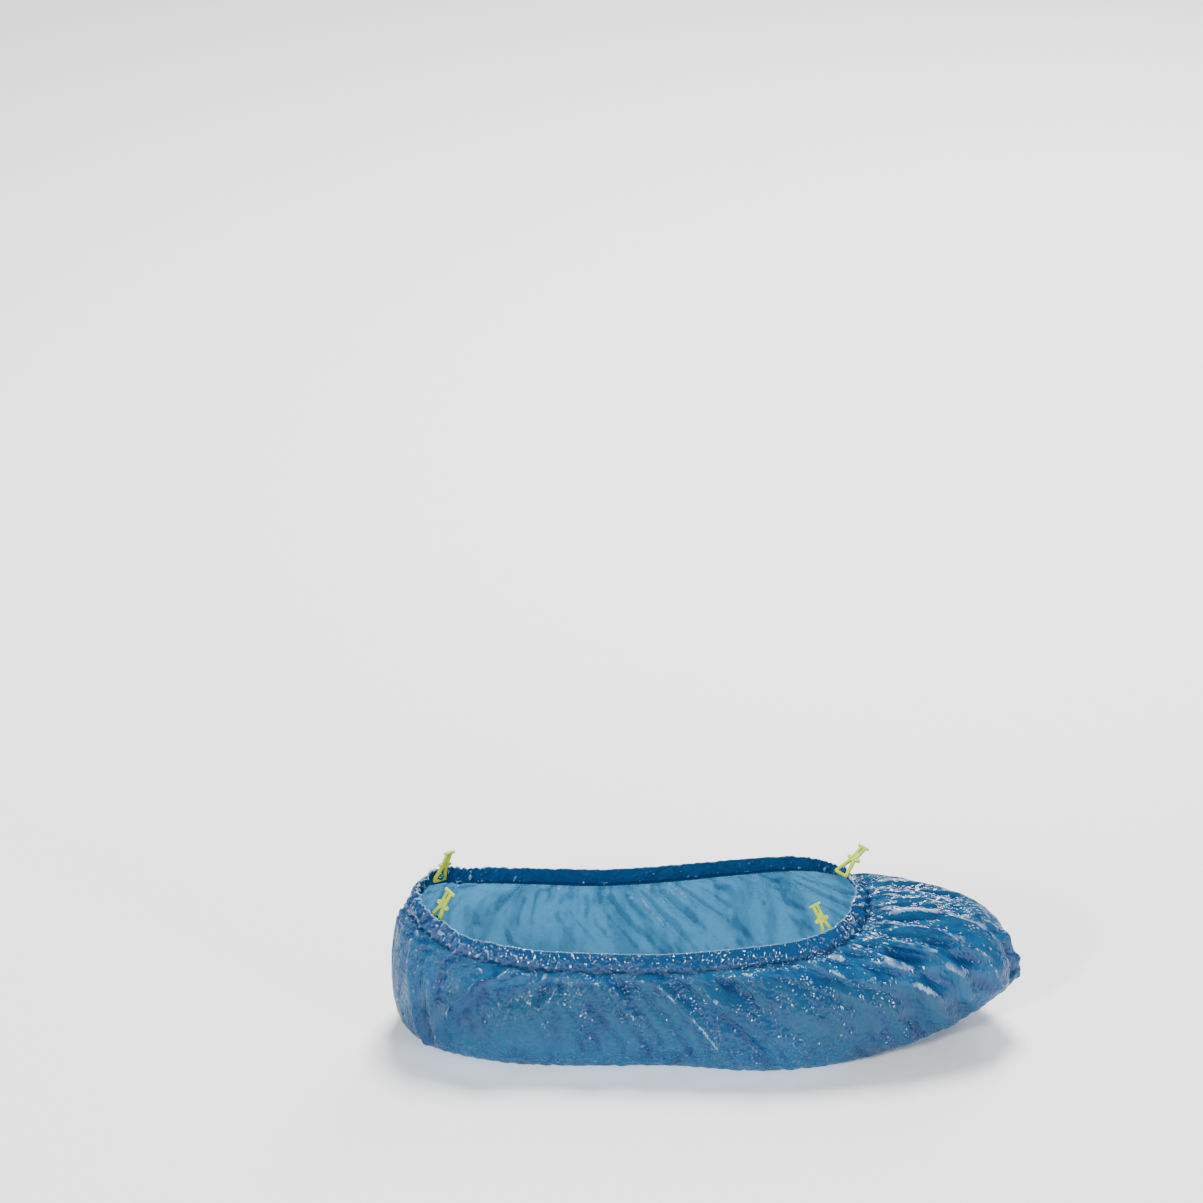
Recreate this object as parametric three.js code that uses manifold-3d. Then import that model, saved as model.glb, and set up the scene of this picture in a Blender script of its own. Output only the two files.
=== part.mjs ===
// Disposable overshoe in its worn form: a film bag with a ruched elastic opening
// and four small dispenser clips hooked on the opening's hem.
// Millimetres. +X is the toe, +Y the foot's inner side, +Z up; a right foot's cover.
import * as THREE from 'three';
import { mergeVertices } from 'three/addons/utils/BufferGeometryUtils.js';
import Module from 'manifold-3d';

const wasm = await Module();
wasm.setup();

// ---------------------------------------------------------------- driving sizes

const GAP = 0.3;                 // air between pieces that touch on the real cover

const FILM = {
  wall: 1,                       // wall of the film body
  columns: 144,                  // columns round the opening
  upper: 8,                      // steps from the opening to the widest line
  lower: 4,                      // steps from the widest line to the floor
  sole: 4,                       // steps across the sole
  heelTurn: 34, toeTurn: 268,    // places along the foot where the sole's ends begin
  ribPitch: 30, downPitch: 38,   // mean millimetres between ribs and per step of down
  hold: 0.12,                    // folds die out this near to the hem
  wave: 4,                       // columns in one gathered wave
};

const HEM = {
  height: 10, wall: 1.8,         // band in section
  columns: 184, waves: 46,       // ruches round the opening, four columns in each
  side: 0.45, end: 0.8,          // height of a ruche along the sides and at the two ends
  bunch: 0.7,                    // extra thickness where the ends bunch up
  lean: 0.5,                     // 0 follows the wall's slope, 1 stands upright
};

const CLIP = {
  thick: 1.6, length: 20,
  bar: 6.4, barDeep: 1.2,        // T-bar at the upper end
  shaft: 3.6, slot: 0.7, slotLong: 3.6,
  cross: 8, crossDeep: 2, crossFrom: 8,      // crossbar, measured from the T-bar
  base: 8.4, leg: 1.5, round: 1.2,           // triangular loop at the lower end
  below: 5.4,                    // how far the loop reaches below the hem's top edge
  dip: 12,                       // degrees that a flipped clip dips towards the film
};

// Section of the hem, outward and upward, as shares of its wall and height.
const HEM_SECTION = [[-0.5, 0], [0.5, 0], [0.62, 0.5], [0.4, 1], [-0.4, 1], [-0.62, 0.5]];

const TUFT = { radius: 1.3, rise: 3.15, past: 1.2, sides: 8 };  // hem pulled through a loop

function table(names, rows) {
  return rows.map((row) => Object.fromEntries(names.map((name, i) => [name, row[i]])));
}

// One row per rib of the film, from the heel end to the toe end. Each rib crosses the
// opening's edge, the widest line and the floor on both sides of the foot.
//   middle            sideways place of the rib's centre
//   rimX              the opening's edge: place along the foot,
//   rimOut, rimIn     its reach from the middle to the outer and the inner side,
//   outZ, inZ         and its height there
//   wideX             the widest line: place along the foot,
//   wideOut, wideIn   its reach from the middle,
//   wideZ             and its height
//   crownZ            height at which the wall turns over towards the opening
//   lift              height of the sole over the floor
//   inset             from the widest line in to the flat of the sole
const RIBS = table(
  ['middle', 'rimX', 'rimOut', 'rimIn', 'outZ', 'inZ',
    'wideX', 'wideOut', 'wideIn', 'wideZ', 'crownZ', 'lift', 'inset'],
  [
    [0, 9, 0, 0, 69, 69, 0, 0, 0, 26, 62, 0, 20],
    [0, 17, 21, 22, 67, 69, 6, 22, 23, 25, 60, 0, 19],
    [0, 38, 33, 33, 59, 65, 26, 38, 39, 23, 52, 0, 15],
    [1, 72, 38, 38, 54, 62, 62, 47, 45, 20, 44, 0, 10],
    [2, 106, 39, 39, 53, 61, 102, 48, 46, 19, 41, 0, 9],
    [4, 142, 40, 40, 53, 63, 146, 48, 48, 18, 41, 0, 9],
    [6, 178, 40, 40, 56, 67, 188, 53, 53, 18, 45, 0, 9],
    [8, 208, 36, 38, 58, 70, 228, 48, 53, 20, 52, 1, 10],
    [10, 229, 27, 29, 61, 71, 265, 37, 48, 25, 62, 6, 11],
    [12, 240, 15, 16, 65, 70, 297, 23, 36, 30, 74, 15, 10],
    [13, 243, 0, 0, 68, 68, 319, 0, 0, 35, 76, 26, 8],
  ],
);

const TOE = RIBS.length - 1;                       // rib number of the toe end
const AROUND = 2 * TOE;                            // ribs right round the opening

// Creases and pleats of the film, a row each. Rib numbers count from the heel end (0) down the
// outer side to the toe end (10) and back along the inner side (to 20); down is 0 at the
// opening, 1 at the widest line and 2 on the floor.
const FOLDS = table(['fromRib', 'fromDown', 'toRib', 'toDown', 'width', 'height'], [
  // heel: two upright creases, then the doubled pleat that runs from a pinch to the sole
  [1.0, 0, 1.7, 1.5, 4, 1.5],
  [1.6, 0, 2.0, 1.2, 3.5, 1.2],
  [2.9, 0, 2.5, 0.34, 5.5, 2.4],
  [2.5, 0.34, 2.2, 0.77, 5, 2.2],
  [2.2, 0.77, 1.95, 1.4, 4.5, 1.7],
  [3.4, 0, 2.8, 0.33, 5.5, 1.5],
  [2.8, 0.33, 2.3, 0.95, 5, 1.2],
  // waist and ball: pleats that slant from the hem towards the toe
  [3.95, 0, 4.15, 0.25, 5.5, 1.8],
  [4.15, 0.25, 4.45, 0.7, 5.5, 1.3],
  [4.65, 0, 5.97, 1.4, 6, 1.9],
  [5.4, 0, 5.55, 0.42, 5.5, 1.5],
  [5.55, 0.42, 6.55, 1.15, 6, 1.5],
  [6.0, 0, 6.3, 0.6, 5, 1.4],
  [6.3, 0, 6.75, 0.95, 5.5, 1.6],
  [6.65, 0, 7.2, 1.2, 5.5, 1.7],
  // toe: long pleats that fan out of the bunched hem over the cap
  [7.15, 0, 7.6, 1.25, 5.5, 1.7],
  [7.5, 0, 8.0, 1.5, 4.5, 1.9],
  [7.9, 0, 8.65, 1.4, 5, 2.1],
  [8.5, 0, 8.9, 0.95, 4.5, 1.9],
  [9.0, 0, 9.5, 1.1, 5, 2.2],
  [9.7, 0, 9.6, 0.9, 5, 2],
  [10.4, 0, 9.75, 0.6, 4.5, 1.7],
  [11.0, 0, 10.5, 0.8, 4.5, 1.6],
  [11.9, 0, 11.3, 0.7, 4.5, 1.6],
  // inner side, from toe to heel
  [12.7, 0, 12.1, 1.1, 5, 1.8],
  [13.5, 0, 13.1, 1.2, 4.5, 1.6],
  [14.3, 0, 14.0, 0.9, 4.5, 1.5],
  [15.6, 0, 15.0, 1.2, 5, 1.7],
  [17.0, 0, 17.5, 1.1, 5, 2],
  [18.3, 0, 18.1, 1.2, 4, 1.5],
  // end welds, gathered into a ridge
  [10, 0.55, 10, 1.5, 3.5, 1.6],
  [0, 0.2, 0, 1.3, 3, 0.8],
]);

// Waves that the elastic draws into the film: middle of the group and its reach in ribs,
// height under the hem, and how far down they fade.
const GATHERS = table(['rib', 'reach', 'height', 'fade'], [
  [10, 3.2, 1.3, 0.4],
  [0, 2.2, 0.9, 0.3],
  [5, 4, 0.35, 0.12],
  [15, 4, 0.35, 0.12],
]);

// Clips on the hem, by rib number; a flipped one lies outward over the film.
const CLIPS = [
  { name: 'clip_front_outer', rib: 7.9, flipped: false },
  { name: 'clip_front_inner', rib: AROUND - 8.4, flipped: true },
  { name: 'clip_heel_outer', rib: 1.1, flipped: false },
  { name: 'clip_heel_inner', rib: AROUND - 1.1, flipped: false },
];

// ---------------------------------------------------------------- the cover's form

const UP = new THREE.Vector3(0, 0, 1);

// Closed curve through one value of every rib, down the outer side and back.
function ringCurve(point) {
  const outer = RIBS.map((rib) => point(rib, false));
  const inner = RIBS.slice(1, TOE).reverse().map((rib) => point(rib, true));
  return new THREE.CatmullRomCurve3([...outer, ...inner], true, 'catmullrom', 0.5);
}

const RING = {
  rim: ringCurve((r, inner) => new THREE.Vector3(
    r.rimX, r.middle + (inner ? r.rimIn : -r.rimOut), inner ? r.inZ : r.outZ)),
  crown: ringCurve((r, inner) => new THREE.Vector3(
    r.wideX, r.middle + (inner ? r.wideIn : -r.wideOut), r.crownZ)),
  girth: ringCurve((r, inner) => new THREE.Vector3(
    r.wideX, r.middle + (inner ? r.wideIn : -r.wideOut), r.wideZ)),
  sole: ringCurve((r) => new THREE.Vector3(r.inset, r.middle, r.lift)),
};

// Point of a ring at a rib number from 0 to AROUND.
function on(curve, rib) {
  return curve.getPoint((((rib % AROUND) + AROUND) % AROUND) / AROUND);
}

function bezier(a, b, c, t) {
  return a.clone().multiplyScalar((1 - t) ** 2)
    .addScaledVector(b, 2 * t * (1 - t))
    .addScaledVector(c, t ** 2);
}

// The plain wall: down is 0 at the opening, 1 at the widest line, 2 on the floor.
function wall(rib, down) {
  const girth = on(RING.girth, rib);
  if (down <= 1) return bezier(on(RING.rim, rib), on(RING.crown, rib), girth, down);
  const { x: inset, y: middle, z: lift } = on(RING.sole, rib);
  const corner = new THREE.Vector3(girth.x, girth.y, Math.max(0, lift));
  const alongX = Math.max(0, FILM.heelTurn - girth.x) - Math.max(0, girth.x - FILM.toeTurn);
  const inward = new THREE.Vector3(alongX, middle - girth.y, 0).normalize();
  const floor = corner.clone().addScaledVector(inward, inset);
  return bezier(girth, corner, floor, down - 1);
}

// Ribs between two rib numbers, the short way round.
function ribsApart(a, b) {
  return ((a - b + 1.5 * AROUND) % AROUND) - AROUND / 2;
}

// Height of one fold: a ridge with a groove beside it.
function foldHeight(fold, rib, down) {
  const x = ribsApart(rib, fold.fromRib) * FILM.ribPitch;
  const y = (down - fold.fromDown) * FILM.downPitch;
  const dx = ribsApart(fold.toRib, fold.fromRib) * FILM.ribPitch;
  const dy = (fold.toDown - fold.fromDown) * FILM.downPitch;
  const long = Math.hypot(dx, dy);
  const along = (x * dx + y * dy) / long;
  const across = (x * dy - y * dx) / long;
  const past = Math.max(0, -along, along - long);
  const bell = (d) => Math.exp(-((d / fold.width) ** 2));
  return fold.height * bell(past) * (bell(across) - 0.7 * bell(across - 1.5 * fold.width));
}

// How far the film stands proud of the plain wall.
function relief(rib, down) {
  const wave = Math.sin((2 * Math.PI * rib * FILM.columns) / (AROUND * FILM.wave));
  let height = 0;
  for (const fold of FOLDS) height += foldHeight(fold, rib, down);
  for (const group of GATHERS) {
    const near = Math.max(0, 1 - Math.abs(ribsApart(rib, group.rib)) / group.reach);
    height += group.height * near ** 0.5 * wave * Math.exp(-down / group.fade);
  }
  return height * Math.min(1, down / FILM.hold, Math.max(0, 1.9 - down) / 0.4);
}

// The creased wall: the plain one moved along its own outward direction.
function film(rib, down) {
  const step = 0.02;
  const point = wall(rib, down);
  const lift = relief(rib, down);
  if (lift === 0) return point;
  const along = wall(rib + step, down).sub(wall(rib - step, down));
  const below = wall(rib, down + step).sub(wall(rib, down - step));
  return point.addScaledVector(below.cross(along).normalize(), lift);
}

// 1 at the heel and toe ends of the opening, 0 along its sides.
function nearEnd(rib) {
  return Math.cos((Math.PI * rib) / TOE) ** 4;
}

// Axes of the hem at a rib: along the opening, up the band, and outward.
function hemAxes(rib) {
  const rim = on(RING.rim, rib);
  const along = on(RING.rim, rib + 0.05).sub(on(RING.rim, rib - 0.05)).normalize();
  const slope = rim.clone().sub(on(RING.crown, rib)).normalize();
  const up = slope.lerp(UP, HEM.lean);
  up.addScaledVector(along, -up.dot(along)).normalize();
  const out = new THREE.Vector3().crossVectors(along, up);
  const foot = rim.addScaledVector(out, -FILM.wall / 2).addScaledVector(up, GAP);
  return { foot, along, up, out };
}

// ---------------------------------------------------------------- mesh helpers

function geometry(points, faces) {
  const made = new THREE.BufferGeometry();
  made.setAttribute('position', new THREE.Float32BufferAttribute(
    points.flatMap((p) => p.toArray()), 3));
  made.setIndex(faces.flat());
  return made;
}

// Solid for joining, from a closed geometry.
function solid(shape) {
  const bare = shape.clone();
  bare.deleteAttribute('normal');
  bare.deleteAttribute('uv');
  const merged = mergeVertices(bare, 1e-4);
  return new wasm.Manifold(new wasm.Mesh({
    numProp: 3,
    vertProperties: Float32Array.from(merged.getAttribute('position').array),
    triVerts: Uint32Array.from(merged.index.array),
  }));
}

function fromSolid(joined) {
  const mesh = joined.getMesh();
  const made = new THREE.BufferGeometry();
  made.setAttribute('position', new THREE.BufferAttribute(mesh.vertProperties, 3));
  made.setIndex(new THREE.BufferAttribute(mesh.triVerts, 1));
  return made;
}

// ---------------------------------------------------------------- film body

function filmBody() {
  const { columns, upper, lower, sole } = FILM;
  const rings = upper + lower;
  const points = [];
  const faces = [];
  const at = (k, j) => k * columns + ((j + columns) % columns);
  for (let k = 0; k <= rings; k++) {
    const down = k <= upper ? k / upper : 1 + (k - upper) / lower;
    for (let j = 0; j < columns; j++) points.push(film((j / columns) * AROUND, down));
  }
  for (let k = 0; k < rings; k++) {
    for (let j = 0; j < columns; j++) {
      const [a, b, c, d] = [at(k, j), at(k, j + 1), at(k + 1, j + 1), at(k + 1, j)];
      faces.push([a, d, b], [b, d, c]);
    }
  }
  // The sole runs across from each column to its partner on the other side.
  const across = (j) => {
    const [a, b] = [at(rings, j), at(rings, columns - j)];
    if (a === b) return Array(sole + 1).fill(a);
    const inside = [];
    for (let m = 1; m < sole; m++) {
      points.push(points[a].clone().lerp(points[b], m / sole));
      inside.push(points.length - 1);
    }
    return [a, ...inside, b];
  };
  let last = across(0);
  for (let j = 1; j <= columns / 2; j++) {
    const next = across(j);
    for (let m = 0; m < sole; m++) {
      if (last[m] !== last[m + 1]) faces.push([last[m], last[m + 1], next[m]]);
      if (next[m] !== next[m + 1]) faces.push([last[m + 1], next[m + 1], next[m]]);
    }
    last = next;
  }
  // The inner face lies one wall further in, and the opening's edge joins the two.
  const skin = geometry(points, faces);
  skin.computeVertexNormals();
  const normal = skin.getAttribute('normal');
  const count = points.length;
  for (let i = 0; i < count; i++) {
    const n = new THREE.Vector3().fromBufferAttribute(normal, i);
    points.push(points[i].clone().addScaledVector(n, -FILM.wall));
  }
  const inside = faces.map(([a, b, c]) => [a + count, c + count, b + count]);
  const edge = [];
  for (let j = 0; j < columns; j++) {
    const [a, b] = [at(0, j), at(0, j + 1)];
    edge.push([a, b, a + count], [b, b + count, a + count]);
  }
  return geometry(points, [...faces, ...inside, ...edge]);
}

// ---------------------------------------------------------------- elastic hem

function hemBand() {
  const { columns, height, waves } = HEM;
  const sides = HEM_SECTION.length;
  const points = [];
  const faces = [];
  for (let j = 0; j < columns; j++) {
    const rib = (j / columns) * AROUND;
    const end = nearEnd(rib);
    const { foot, up, out } = hemAxes(rib);
    const thick = HEM.wall + HEM.bunch * end;
    const ruche = (HEM.side + (HEM.end - HEM.side) * end)
      * Math.sin((2 * Math.PI * waves * j) / columns);
    for (const [o, u] of HEM_SECTION) {
      points.push(foot.clone()
        .addScaledVector(out, o * thick + ruche)
        .addScaledVector(up, u * height));
    }
  }
  for (let j = 0; j < columns; j++) {
    for (let m = 0; m < sides; m++) {
      const next = ((j + 1) % columns) * sides;
      const [a, b] = [j * sides + m, j * sides + ((m + 1) % sides)];
      const [d, c] = [next + m, next + ((m + 1) % sides)];
      faces.push([a, d, b], [b, d, c]);
    }
  }
  return geometry(points, faces);
}

// ---------------------------------------------------------------- clips

// Flat A-shaped clip: triangular loop at y 0, crossbar, slotted shaft and T-bar at the top.
function clipShape() {
  const { length, bar, barDeep, shaft, slot, slotLong, cross, crossDeep, base, leg, round } = CLIP;
  const crossMid = length - barDeep / 2 - CLIP.crossFrom;
  const [crossLow, crossHigh] = [crossMid - crossDeep / 2, crossMid + crossDeep / 2];
  const crossEnd = (cross - crossDeep) / 2;
  const outline = new THREE.Shape();
  outline.moveTo(-base / 2 + round, 0);
  outline.lineTo(base / 2 - round, 0);
  outline.absarc(base / 2 - round, round, round, -Math.PI / 2, Math.PI / 8, false);
  outline.lineTo(shaft / 2, crossLow);
  outline.absarc(crossEnd, crossMid, crossDeep / 2, -Math.PI / 2, Math.PI / 2, false);
  outline.lineTo(shaft / 2, crossHigh);
  outline.lineTo(shaft / 2, length - barDeep);
  outline.lineTo(bar / 2, length - barDeep);
  outline.lineTo(bar / 2, length);
  outline.lineTo(-bar / 2, length);
  outline.lineTo(-bar / 2, length - barDeep);
  outline.lineTo(-shaft / 2, length - barDeep);
  outline.lineTo(-shaft / 2, crossHigh);
  outline.absarc(-crossEnd, crossMid, crossDeep / 2, Math.PI / 2, 1.5 * Math.PI, false);
  outline.lineTo(-shaft / 2, crossLow);
  outline.absarc(-base / 2 + round, round, round, (7 / 8) * Math.PI, 1.5 * Math.PI, false);
  const window = new THREE.Path();
  const inner = base / 2 - 1.15 * leg;
  window.moveTo(-inner, leg);
  window.lineTo(-slot / 2, crossLow - leg / 2);
  window.lineTo(slot / 2, crossLow - leg / 2);
  window.lineTo(inner, leg);
  const opening = new THREE.Path();
  const slotTop = length - barDeep;
  opening.moveTo(-slot / 2, slotTop - slotLong);
  opening.lineTo(-slot / 2, slotTop);
  opening.lineTo(slot / 2, slotTop);
  opening.lineTo(slot / 2, slotTop - slotLong);
  outline.holes.push(window, opening);
  return new THREE.ExtrudeGeometry(outline, {
    depth: CLIP.thick, bevelEnabled: false, curveSegments: 5,
  }).translate(0, 0, -CLIP.thick / 2);
}

// Matrix that puts a clip's width, length and thickness on the hem at its rib.
function clipPlace({ rib, flipped }) {
  const { foot, along, up, out } = hemAxes(rib);
  const clear = GAP + CLIP.thick / 2;
  const top = foot.clone().addScaledVector(up, HEM.height);
  const end = nearEnd(rib);
  const ruche = HEM.side + (HEM.end - HEM.side) * end;
  const halfTop = HEM_SECTION[3][0] * (HEM.wall + HEM.bunch * end) + ruche;
  const halfBand = HEM_SECTION[2][0] * (HEM.wall + HEM.bunch * end) + ruche;
  const place = new THREE.Matrix4();
  if (flipped) {
    const dip = THREE.MathUtils.degToRad(CLIP.dip);
    const long = out.clone().multiplyScalar(Math.cos(dip)).addScaledVector(up, -Math.sin(dip));
    const face = new THREE.Vector3().crossVectors(along, long).negate();
    const over = clear + halfTop * Math.tan(dip);
    const origin = top.addScaledVector(face, over).addScaledVector(long, -TUFT.rise);
    return place.makeBasis(long.clone().cross(face), long, face).setPosition(origin);
  }
  const origin = top.addScaledVector(up, -CLIP.below).addScaledVector(out, -halfBand - clear);
  return place.makeBasis(along, up, new THREE.Vector3().crossVectors(along, up)).setPosition(origin);
}

// The bit of hem that is pulled through a clip's loop.
function tuft(clip) {
  const { radius, rise, past, sides } = TUFT;
  const reach = CLIP.thick / 2 + past;
  const depth = reach + 3;
  const side = clip.flipped ? 1 : -1;
  return new THREE.CylinderGeometry(radius, radius, depth, sides)
    .rotateX(Math.PI / 2)
    .translate(0, rise, side * (reach - depth / 2))
    .applyMatrix4(clipPlace(clip));
}

function hem() {
  return fromSolid(CLIPS.reduce((band, clip) => band.add(solid(tuft(clip))), solid(hemBand())));
}

// ---------------------------------------------------------------- the assembly

const FINISH = {
  film: new THREE.MeshStandardMaterial({ color: 0x3f7fb4, roughness: 0.3, metalness: 0 }),
  hem: new THREE.MeshStandardMaterial({ color: 0x2a6097, roughness: 0.4, metalness: 0 }),
  clip: new THREE.MeshStandardMaterial({ color: 0xbac983, roughness: 0.45, metalness: 0 }),
};

function part(name, shape, material) {
  const mesh = new THREE.Mesh(shape, material);
  mesh.name = name;
  return mesh;
}

// The cover stands on its sole with the origin at the middle of its floor rectangle.
const cover = new THREE.Group();
cover.add(part('film_body', filmBody(), FINISH.film));
cover.add(part('elastic_hem', hem(), FINISH.hem));
for (const clip of CLIPS) {
  cover.add(part(clip.name, clipShape().applyMatrix4(clipPlace(clip)), FINISH.clip));
}
const box = new THREE.Box3().setFromObject(cover);
const centre = box.getCenter(new THREE.Vector3());
cover.position.set(-centre.x, -centre.y, -box.min.z);

export default cover;
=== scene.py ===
"""Disposable film overshoe in its worn form: a thin blue film bag gathered on an elastic hem,
with four small dispenser clips hooked on the hem.

Row frame, metres: +X is the toe, +Y the foot's inner side, +Z up. The cover's own tables and
fields are in millimetres where they don't say otherwise.
"""
import logging
import math
from collections.abc import Callable, Iterator
from dataclasses import dataclass, field
from enum import Enum
from typing import Any, NamedTuple

import bmesh
import bpy
import numpy as np
from mathutils import Matrix, Vector, noise


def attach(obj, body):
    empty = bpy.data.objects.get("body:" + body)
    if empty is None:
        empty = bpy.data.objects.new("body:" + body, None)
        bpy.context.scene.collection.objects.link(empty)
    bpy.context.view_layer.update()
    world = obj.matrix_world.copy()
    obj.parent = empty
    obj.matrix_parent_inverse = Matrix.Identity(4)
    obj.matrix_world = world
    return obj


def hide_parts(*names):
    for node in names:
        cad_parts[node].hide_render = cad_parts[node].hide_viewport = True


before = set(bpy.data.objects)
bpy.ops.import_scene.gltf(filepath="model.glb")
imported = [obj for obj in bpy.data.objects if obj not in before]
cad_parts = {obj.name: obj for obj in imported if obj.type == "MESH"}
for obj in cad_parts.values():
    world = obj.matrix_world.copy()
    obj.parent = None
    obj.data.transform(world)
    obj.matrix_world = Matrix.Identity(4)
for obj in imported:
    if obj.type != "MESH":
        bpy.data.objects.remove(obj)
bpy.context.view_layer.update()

log = logging.getLogger("overshoe")

MM = 0.001
TINY = 1e-12                       # keeps a division from failing
NOISE_SEED = 3                     # without it the vector noise is new in each run
ROOT = "root"
SHEET_UV = "sheet"                 # the sheet's flat coordinates, metres
GATHER = "gather"                  # how densely the film is gathered, 0 to 1
CREST = "crest"                    # where it stands out in a fold, 0 to 1
HOLLOW = "hollow"                  # where it sinks in beside one, 0 to 1
DOUBLED_AND_SHADE = "doubled_and_shade"                # where a pleat lays it over itself, towards its groove: partly real layers, partly painted shade, 0 to 1
Triple = tuple[float, float, float]
Span = tuple[float, float]


class Slot(Enum):
    """Material slots of the record."""

    FILM = "film"
    HEM = "hem"
    CLIP = "clip"


# ------------------------------------------------------------------ shader nodes


def operator(operation: str, swapped: bool = False) -> Callable[["Signal", Any], "Signal"]:
    """Makes the method of Signal that stands for one operation.

    Args:
        operation: The Math node's operation.
        swapped: True for Python's reflected form, which puts the other value first.

    Returns:
        The method.
    """

    def method(self: "Signal", other: Any) -> "Signal":
        """Adds one Math node."""
        first, second = (other, self) if swapped else (self, other)
        return self.tree.node("ShaderNodeMath", {"operation": operation}, {0: first, 1: second})

    return method


class Signal:
    """An output socket that takes part in Python arithmetic, one Math node per operation."""

    __add__, __radd__ = operator("ADD"), operator("ADD", swapped=True)
    __sub__, __rsub__ = operator("SUBTRACT"), operator("SUBTRACT", swapped=True)
    __mul__, __rmul__ = operator("MULTIPLY"), operator("MULTIPLY", swapped=True)
    __truediv__ = operator("DIVIDE")
    at_most, at_least = operator("MINIMUM"), operator("MAXIMUM")

    def __init__(self, tree: "ShaderTree", socket: bpy.types.NodeSocket | None) -> None:
        """Wraps a socket of a tree."""
        self.tree = tree
        self.socket = socket

    def step(self, low: float, high: float) -> "Signal":
        """Smooth rise.

        Args:
            low: Where it leaves 0.
            high: Where it reaches 1.

        Returns:
            The rise, 0 to 1.
        """
        return self.tree.node(
            "ShaderNodeMapRange",
            {"interpolation_type": "SMOOTHSTEP"},
            {"Value": self, "From Min": low, "From Max": high},
        )


class ShaderTree:
    """A material under construction."""

    def __init__(self, name: str) -> None:
        """Starts an empty material.

        Args:
            name: The material's name.
        """
        self.material = bpy.data.materials.new(name)
        self.material.use_nodes = True
        self.tree = self.material.node_tree
        self.tree.nodes.clear()

    def node(
        self,
        kind: str,
        settings: dict[str, Any] | None = None,
        values: dict[str | int, Any] | None = None,
        output: str | int = 0,
    ) -> Signal:
        """Adds a node.

        Args:
            kind: The node's type name.
            settings: Its properties, set before its sockets.
            values: Numbers, colours or signals by input socket.
            output: The output socket that is wanted.

        Returns:
            That output as a signal, empty for a node that has none.
        """
        made = self.tree.nodes.new(kind)
        for name, value in (settings or {}).items():
            setattr(made, name, value)
        for name, value in (values or {}).items():
            if isinstance(value, Signal):
                self.tree.links.new(value.socket, made.inputs[name])
            elif isinstance(value, tuple) and made.inputs[name].type == "RGBA":
                made.inputs[name].default_value = (*value, 1.0)
            else:
                made.inputs[name].default_value = value
        return Signal(self, made.outputs[output] if made.outputs else None)

    def noise(self, where: Signal, scale: float, detail: float = 2.0, kind: str = "FBM") -> Signal:
        """A noise texture: its coordinates, features per metre, octaves and type."""
        values = {"Vector": where, "Scale": scale, "Detail": detail}
        return self.node("ShaderNodeTexNoise", {"noise_type": kind}, values)

    def mix(self, share: Any, first: Any, second: Any) -> Signal:
        """Blends two colours: a share of 0 gives the first, 1 the second."""
        return self.node("ShaderNodeMix", {"data_type": "RGBA"}, {0: share, 6: first, 7: second}, 2)

    def bump(self, strength: float, height: float, relief: Signal) -> Signal:
        """A bumped normal: its strength, its height in metres, and the relief."""
        values = {"Strength": strength, "Distance": height, "Height": relief}
        return self.node("ShaderNodeBump", {}, values)

    def attribute(self, name: str) -> Signal:
        """A number that the mesh carries at its vertices."""
        return self.node("ShaderNodeAttribute", {"attribute_name": name}, output="Fac")

    def principled(self, values: dict[str, Any]) -> Signal:
        """A Principled surface with the given sockets."""
        return self.node("ShaderNodeBsdfPrincipled", {}, values)

    def output(self, surface: Signal) -> bpy.types.Material:
        """Closes the material with its surface shader."""
        self.node("ShaderNodeOutputMaterial", {}, {"Surface": surface})
        return self.material


@dataclass(frozen=True)
class Line:
    """A line along the hem, by its height on the sheet in metres."""

    height: float
    wide: float
    strength: float
    colour: Triple

    def mask(self, tree: ShaderTree, flat: Signal) -> Signal:
        """Where the line shows, at its strength in the middle, 0 beyond its width."""
        away = (tree.node("ShaderNodeSeparateXYZ", {}, {0: flat}, "Y") - self.height) / self.wide
        return (self.strength * (1 - away * away)).at_least(0.0)


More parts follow.
